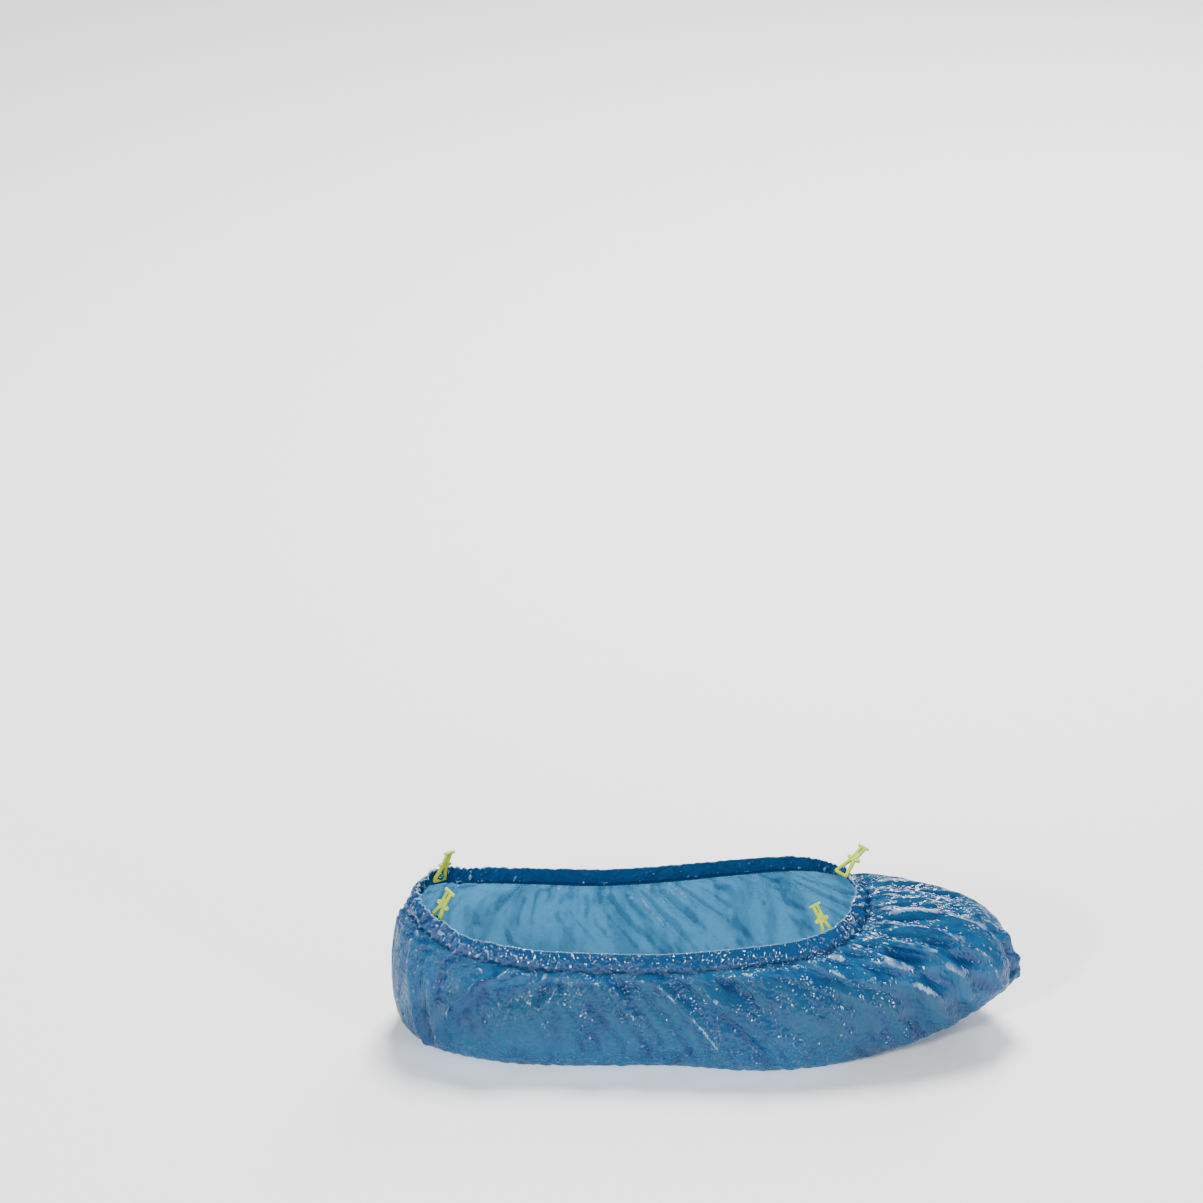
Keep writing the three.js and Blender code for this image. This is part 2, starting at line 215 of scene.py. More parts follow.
@dataclass(frozen=True)
class FilmFinish:
    """Thin translucent polyethylene, glossy and crinkled all over."""

    name: str = "blue_film"
    clear_tint: Triple = (0.06, 0.25, 0.44)      # light that passes one layer
    body: Triple = (0.020, 0.118, 0.230)         # what the film itself scatters
    rich: Triple = (0.001, 0.040, 0.140)         # where two or three layers lie together, and the partly painted shade of a pleat's doubled band
    hollow_shade: Triple = (0.0008, 0.030, 0.105)        # painted shade in a hollow
    painted_glint_colour: Triple = (0.62, 0.80, 0.94)           # painted glint: the white of crinkles' edges and fold crests catching the light
    roughness: float = 0.09
    shine: float = 1.5                           # refractive index
    gloss: float = 0.4
    painted_glint_share: float = 0.7                         # share of the painted glints' white
    cover: float = 0.45                          # share that doesn't pass straight through,
    layer_cover: float = 0.25                    # and what is added to it by more layers,
    shade_and_cling_cover: float = 0.25                   # in painted shade in a hollow and in clinging patches,
    edge_cover: float = 0.20                     # seen edge on
    glint_cover: float = 0.3                     # and at a painted glint
    most_cover: float = 0.97
    edge_blend: float = 0.32                     # how soon it counts as seen edge on
    layers: Triple = (0.75, 0.5, 0.9)            # weights of gather, crest and the doubled band, which is partly painted shade
    hollow_shade_weight: float = 0.7                            # weight of the painted shade in a hollow
    cling: float = 0.6                           # deepening where it clings in patches
    cling_scale: float = 70.0                    # those patches, per metre
    cling_range: Span = (0.45, 0.62)             # the noise at which they start and are full
    patch_scale: float = 90.0                    # patches of denser crinkles
    patch_range: Span = (0.40, 0.62)
    crinkle: float = 0.0019                      # mean size of a crinkle, metres
    relief: float = 0.0008                       # its height, metres
    streak: float = 0.34                         # height of the long crinkles, of the cells'
    squeeze: Triple = (1.0, 0.42, 1.0)           # crinkles run from the hem down
    warp: float = 0.6                            # how far cells are pushed out of round, mm
    warp_scale: float = 260.0
    fleck_glint_range: Span = (1.4, 1.9)               # the crinkles' noise that shows as a painted glint
    crest_range: Span = (0.7, 1.0)               # the part of a crest that gets a painted glint
    lines: tuple[Line, ...] = ()                 # welds and folded edges along the hem

    def material(self) -> bpy.types.Material:
        """Builds the material.

        Returns:
            The finished material.
        """
        tree = ShaderTree(self.name)
        flat = tree.node("ShaderNodeUVMap", {"uv_map": SHEET_UV})
        squeezed = tree.node("ShaderNodeMapping", {}, {"Vector": flat, "Scale": self.squeeze})
        marks = (GATHER, CREST, HOLLOW, DOUBLED_AND_SHADE)
        gather, crest, hollow, doubled_and_shade = (tree.attribute(name) for name in marks)
        per_metre = 1 / self.crinkle
        patches = tree.noise(flat, self.patch_scale).step(*self.patch_range)
        streaks = tree.noise(squeezed, per_metre, 3.0, "RIDGED_MULTIFRACTAL")
        cells = {"Vector": self._warped(tree, flat), "Scale": per_metre}
        facets = tree.node("ShaderNodeTexVoronoi", {"feature": "F1"}, cells)
        height = facets * (0.5 + 0.5 * patches) + self.streak * streaks * (0.6 + gather)
        # painted highlights: white glints on the crinkles and along fold crests, put into the base
        # colour
        fleck_glints = streaks.step(*self.fleck_glint_range) * (0.2 + 0.8 * patches)
        ridge_glint = crest.step(*self.crest_range) * patches
        glints = (fleck_glints * (0.6 + 0.4 * crest) + 0.5 * ridge_glint).at_most(1.0)
        clinging = tree.noise(squeezed, self.cling_scale, 4.0).step(*self.cling_range)
        by_gather, by_crest, by_doubled_and_shade = self.layers
        # the doubled band lies beside a pleat's ridge towards its groove, so its deeper blue is partly
        # painted shade
        layered = (by_gather * gather + by_crest * crest + by_doubled_and_shade * doubled_and_shade).at_most(1.0)
        # painted shade: darker colour where the film sinks into a hollow; the clinging patches are
        # random tone
        shade_and_cling = (self.hollow_shade_weight * hollow + self.cling * clinging * (1 - doubled_and_shade)).at_most(1.0)
        colour = tree.mix(layered, self.body, self.rich)
        colour = tree.mix(shade_and_cling, colour, self.hollow_shade)
        for line in self.lines:
            colour = tree.mix(line.mask(tree, flat), colour, line.colour)
        colour = tree.mix(glints * self.painted_glint_share, colour, self.painted_glint_colour)
        edge_on = tree.node("ShaderNodeLayerWeight", {}, {"Blend": self.edge_blend}, "Facing")
        cover = self.cover + self.layer_cover * layered + self.shade_and_cling_cover * shade_and_cling
        cover = cover + self.edge_cover * edge_on + self.glint_cover * glints
        solid = tree.principled({
            "Base Color": colour,
            "Roughness": self.roughness,
            "IOR": self.shine,
            "Specular IOR Level": self.gloss,
            "Normal": tree.bump(1.0, self.relief, height),
        })
        clear = tree.node("ShaderNodeBsdfTransparent", {}, {"Color": self.clear_tint})
        share = cover.at_most(self.most_cover)
        return tree.output(tree.node("ShaderNodeMixShader", {}, {0: share, 1: clear, 2: solid}))

    def _warped(self, tree: ShaderTree, flat: Signal) -> Signal:
        """Pushes the sheet's coordinates about, so that cells aren't round.

        Args:
            tree: The material.
            flat: The sheet's coordinates.

        Returns:
            The warped coordinates.
        """
        waves = {"Vector": flat, "Scale": self.warp_scale}
        push = tree.node("ShaderNodeTexNoise", {}, waves, "Color")
        amount = {0: push, "Scale": self.warp * MM}
        scaled = tree.node("ShaderNodeVectorMath", {"operation": "SCALE"}, amount)
        return tree.node("ShaderNodeVectorMath", {"operation": "ADD"}, {0: flat, 1: scaled})


@dataclass(frozen=True)
class HemFinish(FilmFinish):
    """Doubled film drawn in over its elastic: less clear than one layer."""

    name: str = "doubled_film"
    clear_tint: Triple = (0.02, 0.12, 0.25)
    body: Triple = (0.004, 0.055, 0.150)
    cover: float = 0.7
    crinkle: float = 0.0018
    relief: float = 0.0007
    painted_glint_share: float = 0.6
    lines: tuple[Line, ...] = (
        Line(0.0016, 0.0012, 0.85, (0.001, 0.020, 0.070)),   # the weld at its foot
        Line(0.0101, 0.0007, 0.40, (0.22, 0.42, 0.60)),      # the folded upper edge
    )


@dataclass(frozen=True)
class ClipFinish:
    """Moulded yellow-green plastic, semi-gloss, slightly cloudy."""

    name: str = "clip_plastic"
    colour: Triple = (0.27, 0.38, 0.020)
    pale: Triple = (0.38, 0.47, 0.045)
    cloud_scale: float = 420.0     # per metre
    cloud_range: Span = (0.35, 0.7)
    roughness: float = 0.38
    unevenness: float = 0.12       # of the roughness, from cloud to cloud
    gloss: float = 0.35
    grain_scale: float = 3200.0
    grain_height: float = 0.00008  # metres
    grain_strength: float = 0.4

    def material(self) -> bpy.types.Material:
        """Builds the material.

        Returns:
            The finished material.
        """
        tree = ShaderTree(self.name)
        place = tree.node("ShaderNodeTexCoord", output="Object")
        clouds = tree.noise(place, self.cloud_scale, 3.0)
        grain = tree.noise(place, self.grain_scale)
        return tree.output(tree.principled({
            "Base Color": tree.mix(clouds.step(*self.cloud_range), self.colour, self.pale),
            "Roughness": self.roughness + self.unevenness * (clouds - 0.5),
            "Specular IOR Level": self.gloss,
            "Normal": tree.bump(self.grain_strength, self.grain_height, grain),
        }))


@dataclass(frozen=True)
class FloorFinish:
    """Plain pale studio floor."""

    name: str = "pale_floor"
    colour: Triple = (0.86, 0.86, 0.86)
    roughness: float = 0.8

    def material(self) -> bpy.types.Material:
        """Builds the material."""
        tree = ShaderTree(self.name)
        return tree.output(tree.principled({"Base Color": self.colour, "Roughness": self.roughness}))


# ------------------------------------------------------------------ the cover's form


class Ring(Enum):
    """Closed curves of the form, each through one point of every rib."""

    RIM = "rim"
    CROWN = "crown"
    GIRTH = "girth"
    SOLE = "sole"


class Rib(NamedTuple):
    """Where one rib crosses the opening's edge, the widest line and the floor."""

    middle: float      # sideways place of the rib's centre
    rim_x: float       # the opening's edge: place along the foot,
    rim_out: float     # its reach from the middle to the outer side
    rim_in: float      # and to the inner side,
    out_z: float       # its height on the outer side
    in_z: float        # and on the inner side
    wide_x: float      # the widest line: place along the foot,
    wide_out: float    # its reach to the outer side
    wide_in: float     # and to the inner side,
    wide_z: float      # and its height
    crown_z: float     # height at which the wall turns over towards the opening
    lift: float        # height of the sole over the floor
    inset: float       # from the widest line in to the flat of the sole

    def point(self, ring: Ring, inner: bool) -> Triple:
        """The rib's point on a ring.

        Args:
            ring: Which curve.
            inner: True on the foot's inner side.

        Returns:
            The point. On the sole it is the inset, the middle and the lift.
        """
        if ring is Ring.RIM:
            reach = self.rim_in if inner else -self.rim_out
            return self.rim_x, self.middle + reach, self.in_z if inner else self.out_z
        if ring is Ring.SOLE:
            return self.inset, self.middle, self.lift
        reach = self.wide_in if inner else -self.wide_out
        return self.wide_x, self.middle + reach, self.crown_z if ring is Ring.CROWN else self.wide_z


RIBS = tuple(
    Rib(*row)
    for row in (
        (0, 9, 0, 0, 69, 69, 0, 0, 0, 26, 62, 0, 20),
        (0, 17, 21, 22, 67, 69, 6, 22, 23, 25, 60, 0, 19),
        (0, 38, 33, 33, 59, 65, 26, 38, 39, 23, 52, 0, 15),
        (1, 72, 38, 38, 54, 62, 62, 47, 45, 20, 44, 0, 10),
        (2, 106, 39, 39, 53, 61, 102, 48, 46, 19, 41, 0, 9),
        (4, 142, 40, 40, 53, 63, 146, 48, 48, 18, 41, 0, 9),
        (6, 178, 40, 40, 56, 67, 188, 53, 53, 18, 45, 0, 9),
        (8, 208, 36, 38, 58, 70, 228, 48, 53, 20, 52, 1, 10),
        (10, 229, 27, 29, 61, 71, 265, 37, 48, 25, 62, 6, 11),
        (12, 240, 15, 16, 65, 70, 297, 23, 36, 30, 74, 15, 10),
        (13, 243, 0, 0, 68, 68, 319, 0, 0, 35, 76, 26, 8),
    )
)
TOE = len(RIBS) - 1                # rib number of the toe end
AROUND = 2 * TOE                   # ribs right round the opening


class Fold(NamedTuple):
    """A pleat or crease between two places of the wall. Down is 0 at the opening, 2 on the floor."""

    from_rib: float
    from_down: float
    to_rib: float
    to_down: float
    width: float       # millimetres
    height: float      # millimetres


FOLDS = tuple(
    Fold(*row)
    for row in (
        (1.0, 0, 1.7, 1.5, 4, 1.5),
        (1.6, 0, 2.0, 1.2, 3.5, 1.2),
        (2.9, 0, 2.5, 0.34, 5.5, 2.4),
        (2.5, 0.34, 2.2, 0.77, 5, 2.2),
        (2.2, 0.77, 1.95, 1.4, 4.5, 1.7),
        (3.4, 0, 2.8, 0.33, 5.5, 1.5),
        (2.8, 0.33, 2.3, 0.95, 5, 1.2),
        (3.95, 0, 4.15, 0.25, 5.5, 1.8),
        (4.15, 0.25, 4.45, 0.7, 5.5, 1.3),
        (4.65, 0, 5.97, 1.4, 6, 1.9),
        (5.4, 0, 5.55, 0.42, 5.5, 1.5),
        (5.55, 0.42, 6.55, 1.15, 6, 1.5),
        (6.0, 0, 6.3, 0.6, 5, 1.4),
        (6.3, 0, 6.75, 0.95, 5.5, 1.6),
        (6.65, 0, 7.2, 1.2, 5.5, 1.7),
        (7.15, 0, 7.6, 1.25, 5.5, 1.7),
        (7.5, 0, 8.0, 1.5, 4.5, 1.9),
        (7.9, 0, 8.65, 1.4, 5, 2.1),
        (8.5, 0, 8.9, 0.95, 4.5, 1.9),
        (9.0, 0, 9.5, 1.1, 5, 2.2),
        (9.7, 0, 9.6, 0.9, 5, 2),
        (10.4, 0, 9.75, 0.6, 4.5, 1.7),
        (11.0, 0, 10.5, 0.8, 4.5, 1.6),
        (11.9, 0, 11.3, 0.7, 4.5, 1.6),
        (12.7, 0, 12.1, 1.1, 5, 1.8),
        (13.5, 0, 13.1, 1.2, 4.5, 1.6),
        (14.3, 0, 14.0, 0.9, 4.5, 1.5),
        (15.6, 0, 15.0, 1.2, 5, 1.7),
        (17.0, 0, 17.5, 1.1, 5, 2),
        (18.3, 0, 18.1, 1.2, 4, 1.5),
        (10, 0.55, 10, 1.5, 3.5, 1.6),
        (0, 0.2, 0, 1.3, 3, 0.8),
    )
)


def ring_points(ring: Ring) -> np.ndarray:
    """A ring's points, down the outer side to the toe and back along the inner: a row per rib."""
    outer = [rib.point(ring, False) for rib in RIBS]
    return np.array(outer + [rib.point(ring, True) for rib in RIBS[-2:0:-1]], float)


def unit(vectors: np.ndarray) -> np.ndarray:
    """Vectors brought to length 1 along the last axis."""
    return vectors / np.maximum(np.linalg.norm(vectors, axis=-1, keepdims=True), TINY)


def smooth(value: np.ndarray, low: float, high: float) -> np.ndarray:
    """Smooth rise from 0 at low to 1 at high."""
    t = np.clip((value - low) / (high - low), 0, 1)
    return t * t * (3 - 2 * t)


@dataclass
class CoverForm:
    """The worn cover's plain form, in the row frame.

    A place on the wall is a rib number, from the heel end (0) down the outer side to the toe
    end (TOE) and back along the inner side (to AROUND), and down: 0 at the opening, 1 at the
    widest line, 2 on the floor.
    """

    foot_origin: Span = (159.605, 7.082)         # the row frame's origin in the table
    heel_turn: float = 34.0        # places along the foot where the sole's ends begin
    toe_turn: float = 268.0
    rib_pitch: float = 30.0        # mean millimetres between ribs
    down_pitch: float = 38.0       # and per step of down
    hold: float = 0.12             # folds die out this near to the hem
    floor_fade: Span = (1.9, 0.4)  # the down where they end, and how soon they fade before it
    groove_beside: float = 1.5     # how far from a fold's ridge its groove lies, of its width
    groove_share: float = 0.7      # the groove's depth, of the ridge's height
    fold_share: float = 0.42       # half the doubled film's width, of a fold's
    fold_beside: float = 0.75      # how far from the ridge it lies, of a fold's width
    full_fold: float = 2.0         # a fold this high doubles the film in full
    wall_share: float = 0.66       # part of the sheet's half width that is wall at the waist
    drawn: float = 0.2             # share of the gathering at the ends that isn't worked out
    skew: float = 12.0             # how far the elastic drags the film towards the heel
    rings: dict[Ring, np.ndarray] = field(init=False)

    def __post_init__(self) -> None:
        """Places the rings in the row frame."""
        shift = np.array([*self.foot_origin, 0.0])
        self.rings = {ring: ring_points(ring) - (0 if ring is Ring.SOLE else shift) for ring in Ring}

    def on(self, ring: Ring, rib: np.ndarray) -> np.ndarray:
        """Points of a ring by a closed Catmull-Rom curve.

        Args:
            ring: Which curve.
            rib: Rib numbers.

        Returns:
            One point per rib number.
        """
        points = self.rings[ring]
        whole = np.floor(rib).astype(int)
        t = (rib - whole)[..., None]
        a, b, c, d = (points[(whole + k) % AROUND] for k in (-1, 0, 1, 2))
        out, into = (c - a) / 2, (d - b) / 2
        return b + t * (out + t * (3 * (c - b) - 2 * out - into + t * (2 * (b - c) + out + into)))

    def wall(self, rib: np.ndarray, down: np.ndarray) -> np.ndarray:
        """Points of the plain wall.

        Args:
            rib: Rib numbers.
            down: 0 at the opening, 1 at the widest line, 2 on the floor.

        Returns:
            One point per pair.
        """
        rim, crown, girth, sole = (self.on(ring, rib) for ring in Ring)
        corner = girth.copy()
        corner[..., 2] = np.maximum(0, sole[..., 2])
        along = girth[..., 0] + self.foot_origin[0]
        inward = np.zeros_like(girth)
        inward[..., 0] = np.maximum(0, self.heel_turn - along) - np.maximum(0, along - self.toe_turn)
        inward[..., 1] = sole[..., 1] - self.foot_origin[1] - girth[..., 1]
        floor = corner + unit(inward) * sole[..., :1]
        t = np.clip(down, 0, 1)[..., None]
        upper = (1 - t) ** 2 * rim + 2 * t * (1 - t) * crown + t * t * girth
        s = np.clip(down - 1, 0, 1)[..., None]
        lower = (1 - s) ** 2 * girth + 2 * s * (1 - s) * corner + s * s * floor
        return np.where(down[..., None] <= 1, upper, lower)

    def folds(
        self, rib: np.ndarray, down: np.ndarray
    ) -> Iterator[tuple[Fold, np.ndarray, np.ndarray]]:
        """Where places lie from each fold's line.

        Args:
            rib: Rib numbers.
            down: Places down the wall.

        Returns:
            Each fold, with how far across its line they are and how much of it is left there.
        """
        for fold in FOLDS:
            x = self.apart(rib, fold.from_rib) * self.rib_pitch
            y = (down - fold.from_down) * self.down_pitch
            dx = self.apart(fold.to_rib, fold.from_rib) * self.rib_pitch
            dy = (fold.to_down - fold.from_down) * self.down_pitch
            long = math.hypot(dx, dy)
            along = (x * dx + y * dy) / long
            past = np.maximum(0, np.maximum(-along, along - long))
            yield fold, (x * dy - y * dx) / long, np.exp(-((past / fold.width) ** 2))

    def relief(self, rib: np.ndarray, down: np.ndarray) -> np.ndarray:
        """How far the pleats stand proud of the plain wall.

        Args:
            rib: Rib numbers.
            down: Places down the wall.

        Returns:
            Their height, negative in a groove.
        """
        height = np.zeros_like(rib)
        for fold, across, left in self.folds(rib, down):
            ridge = np.exp(-((across / fold.width) ** 2))
            groove = np.exp(-(((across - self.groove_beside * fold.width) / fold.width) ** 2))
            height += fold.height * left * (ridge - self.groove_share * groove)
        end, fade = self.floor_fade
        return height * np.clip(np.minimum(down / self.hold, (end - down) / fade), 0, 1)

    def doubled_and_shade(self, rib: np.ndarray, down: np.ndarray) -> np.ndarray:
        """Where a pleat lays the film over itself, on its groove side, where the darker band is partly
        painted shade.

        Args:
            rib: Rib numbers.
            down: Places down the wall.

        Returns:
            0 for one layer, up to 1.
        """
        share = np.zeros_like(rib)
        for fold, across, left in self.folds(rib, down):
            beside = (across - self.fold_beside * fold.width) / (self.fold_share * fold.width)
            band = np.exp(-(beside**4)) * left
            share = np.maximum(share, band * min(1.0, fold.height / self.full_fold))
        return share

    @staticmethod
    def drawn_in(rib: np.ndarray) -> np.ndarray:
        """How much the elastic gathers the film: 1 at the toe, less at the heel and waist."""
        outer = np.minimum(rib, AROUND - rib)
        return np.interp(outer, (0, 1.5, 3, 5, 6.5, 8, TOE), (0.7, 0.6, 0.3, 0.3, 0.7, 1, 1))

    @staticmethod
    def slant(rib: np.ndarray) -> np.ndarray:
        """Which way folds wander on their way down.

        Args:
            rib: Rib numbers at the opening.

        Returns:
            Ribs towards the toe, from the opening to the widest line.
        """
        outer = np.minimum(rib, AROUND - rib)
        ribs = np.interp(outer, (0, 1, 2.2, 3.5, 5, 9, TOE), (0, -0.4, -0.7, 0, 0.7, 0.7, 0))
        return np.where(rib > TOE, -ribs, ribs)

    @staticmethod
    def apart(a: np.ndarray | float, b: float) -> np.ndarray | float:
        """Ribs from b to a, the short way round."""
        return (a - b + 1.5 * AROUND) % AROUND - AROUND / 2

    def places(self, x: np.ndarray, y: np.ndarray) -> tuple[np.ndarray, np.ndarray, np.ndarray]:
        """Where places of the flat sheet come to lie on the form.

        Args:
            x: 0 at the heel end, 1 at the toe end.
            y: 0 at the opening's inner edge, 1 at its outer edge.

        Returns:
            Rib numbers, downs, and how far across the sole from the floor line (0 to 0.5).
        """
        outer = y > 0.5
        depth = np.where(outer, 1 - y, y) * 2
        rib = np.where(outer, x * TOE, AROUND - x * TOE)
        ends = np.abs(2 * x - 1) ** 6
        share = self.wall_share + (1 - self.wall_share) * ends
        down = np.minimum(2, 2 * depth / share)
        across = np.clip((depth - share) / np.maximum(1 - share, 1e-6), 0, 1) / 2
        return rib, down, across

    def sheet(self, x: np.ndarray, y: np.ndarray) -> np.ndarray:
        """The plain form's points for places of the flat sheet.

        Args:
            x: 0 at the heel end, 1 at the toe end.
            y: 0 at the opening's inner edge, 1 at its outer edge.

        Returns:
            One point per place.
        """
        rib, down, across = self.places(x, y)
        here = self.wall(rib, down)
        partner = self.wall(AROUND - rib, down)
        return here + (partner - here) * across[..., None]

    def slack(self, x: np.ndarray, y: np.ndarray) -> np.ndarray:
        """The form before the elastic draws it in: a wall that stands up from the widest line.

        Args:
            x: 0 at the heel end, 1 at the toe end.
            y: 0 at the opening's inner edge, 1 at its outer edge.

        Returns:
            One point per place.
        """
        rib, down, _ = self.places(x, y)
        rim, crown, girth = (self.on(ring, rib) for ring in (Ring.RIM, Ring.CROWN, Ring.GIRTH))
        sides = (rim - crown, crown - girth, rim - girth)
        length = 0.5 * sum(np.linalg.norm(side, axis=-1) for side in sides)
        ends = np.cos(np.pi * rib / TOE) ** 2
        lean = (rim - girth) * (self.drawn * ends)[..., None]
        lean[..., 0] += self.skew * (1 - ends)
        lean[..., 2] = np.sqrt(np.maximum(0, length**2 - (lean[..., :2] ** 2).sum(-1)))
        standing = girth + lean * (1 - down)[..., None]
        return np.where((down < 1)[..., None], standing, self.sheet(x, y))


FORM = CoverForm()


# ------------------------------------------------------------------ meshes


def grid_normals(points: np.ndarray) -> np.ndarray:
    """Outward directions of a grid of points, rows along x and columns along y."""
    return unit(np.cross(np.gradient(points, axis=0), np.gradient(points, axis=1)))


def neighbour_mean(values: np.ndarray, edges: np.ndarray) -> np.ndarray:
    """Mean of each vertex's neighbours.

    Args:
        values: One row per vertex.
        edges: Pairs of vertex numbers.

    Returns:
        One row per vertex.
    """
    count = len(values)
    total = np.zeros_like(values)
    for here, there in ((0, 1), (1, 0)):
        for axis in range(values.shape[1]):
            total[:, axis] += np.bincount(edges[:, here], values[edges[:, there], axis], count)
    return total / np.bincount(edges.ravel(), minlength=count)[:, None]


def read(items: Any, name: str, wide: int = 1, kind: type = float) -> np.ndarray:
    """One property of a mesh's vertices, edges or loops.

    Args:
        items: The collection.
        name: The property.
        wide: Its numbers per item.
        kind: Their type.

    Returns:
        One row per item.
    """
    values = np.zeros(len(items) * wide, kind)
    items.foreach_get(name, values)
    return values.reshape(-1, wide)


def link_object(name: str, data: bpy.types.ID) -> bpy.types.Object:
    """Makes an object and puts it in the scene.

    Args:
        name: Its name.
        data: Its mesh, lamp or camera.

    Returns:
        The object.
    """
    made = bpy.data.objects.new(name, data)
    bpy.context.scene.collection.objects.link(made)
    return made


def finish_piece(
    made: bmesh.types.BMesh, name: str, material: bpy.types.Material
) -> bpy.types.Object:
    """Turns a bmesh into a finished piece that rides on the frame.

    Args:
        made: The shape, with its place in its vertices.
        name: The piece's name.
        material: Its finish.

    Returns:
        The object.
    """
    mesh = bpy.data.meshes.new(name)
    made.to_mesh(mesh)
    made.free()
    mesh.materials.append(material)
    mesh.polygons.foreach_set("use_smooth", np.ones(len(mesh.polygons), bool))
    piece = link_object(name, mesh)
    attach(piece, ROOT)
    return piece


def report(piece: bpy.types.Object) -> None:
    """Logs one finished piece."""
    log.info("%s: %d faces", piece.name, len(piece.data.polygons))


@dataclass
class Skin:
    """A finished mesh, for moving its vertices along its normals and marking them."""

    mesh: bpy.types.Mesh

    def flat(self) -> np.ndarray:
        """Each vertex's place on the flat sheet.

        Returns:
            Metres across and along, a row each.
        """
        result = np.zeros((len(self.mesh.vertices), 2))
        owner = read(self.mesh.loops, "vertex_index", kind=int)[:, 0]
        result[owner] = read(self.mesh.uv_layers[SHEET_UV].data, "uv", 2)
        return result

    def lift(self, amount: np.ndarray) -> None:
        """Moves each vertex along its normal, not below the floor.

        Args:
            amount: Metres for each vertex.
        """
        normals = read(self.mesh.vertices, "normal", 3)
        moved = read(self.mesh.vertices, "co", 3) + normals * amount[:, None]
        moved[:, 2] = np.maximum(moved[:, 2], 0.0)
        self.mesh.vertices.foreach_set("co", moved.astype(np.float32).ravel())
        self.mesh.update()

    def bulge(self, rounds: int) -> np.ndarray:
        """How far each vertex stands out from the surface about it.

        Args:
            rounds: Neighbours of neighbours that count as about it.

        Returns:
            Metres for each vertex, negative in a hollow.
        """
        edges = read(self.mesh.edges, "vertices", 2, int)
        points = soft = read(self.mesh.vertices, "co", 3)
        for _ in range(rounds):
            soft = neighbour_mean(soft, edges)
        return np.einsum("ij,ij->i", points - soft, read(self.mesh.vertices, "normal", 3))

    def store(self, name: str, values: np.ndarray) -> None:
        """Stores a value per vertex for the material."""
        layer = self.mesh.attributes.new(name, "FLOAT", "POINT")
        layer.data.foreach_set("value", values.astype(np.float32))

    def mark(self, name: str, rounds: int, low: float, high: float) -> None:
        """Stores crests, or with negative bulges hollows.

        Args:
            name: The attribute.
            rounds: Passed to bulge.
            low: Bulge at which it begins to show, millimetres.
            high: Bulge at which it shows in full.
        """
        self.store(name, smooth(self.bulge(rounds) / MM / high, low / high, 1.0))


# ------------------------------------------------------------------ film


@dataclass
class CutSheet:
    """The cut film as a grid of vertices, with where each comes to lie on the form."""

    along: int                                   # cells from heel to toe
    across: int                                  # and from edge to edge of the opening
    made: bmesh.types.BMesh = field(init=False)
    x: np.ndarray = field(init=False)            # places along the sheet, 0 to 1
    y: np.ndarray = field(init=False)            # and across it
    rib: np.ndarray = field(init=False)          # rib numbers
    down: np.ndarray = field(init=False)         # places down the wall
    plain: np.ndarray = field(init=False)        # the plain form's points
    out: np.ndarray = field(init=False)          # its outward directions
    slack: np.ndarray = field(init=False)        # the points before the elastic draws them in

    def __post_init__(self) -> None:
        """Makes the grid and finds its places."""
        self.made = bmesh.new()
        bmesh.ops.create_grid(self.made, x_segments=self.along, y_segments=self.across, size=0.5)
        for vert in self.made.verts:
            column = round((vert.co.x + 0.5) * self.along)
            vert.index = column * (self.across + 1) + round((vert.co.y + 0.5) * self.across)
        self.made.verts.sort()
        places = np.array([vert.co[:2] for vert in self.made.verts]) + 0.5
        self.x, self.y = places[:, 0], places[:, 1]
        self.rib, self.down, _ = FORM.places(self.x, self.y)
        self.plain, self.slack = FORM.sheet(self.x, self.y), FORM.slack(self.x, self.y)
        self.out = grid_normals(self.grid(self.plain)).reshape(-1, 3)

    def grid(self, values: np.ndarray) -> np.ndarray:
        """The vertices' values as rows along the sheet and columns across it."""
        return values.reshape(self.along + 1, self.across + 1, *values.shape[1:])

    def weld(self, mesh: bpy.types.Mesh) -> tuple[np.ndarray, np.ndarray]:
        """Writes the sheet with its heel and toe ends welded shut.

        Args:
            mesh: The mesh to write.

        Returns:
            The sheet's vertices that are kept, and for each of its vertices the welded one.
        """
        count = self.across + 1
        welded = self.made.copy()
        welded.verts.ensure_lookup_table()
        target = {}
        partner = np.arange(len(self.made.verts))
        for column in (0, self.along):
            for row in range(self.across // 2):
                high, low = column * count + self.across - row, column * count + row
                target[welded.verts[high]] = welded.verts[low]
                partner[high] = low
        bmesh.ops.weld_verts(welded, targetmap=target)
        welded.to_mesh(mesh)
        welded.free()
        kept = np.flatnonzero(partner == np.arange(len(partner)))
        place = np.empty(len(partner), int)
        place[kept] = np.arange(len(kept))
        return kept, place[partner]


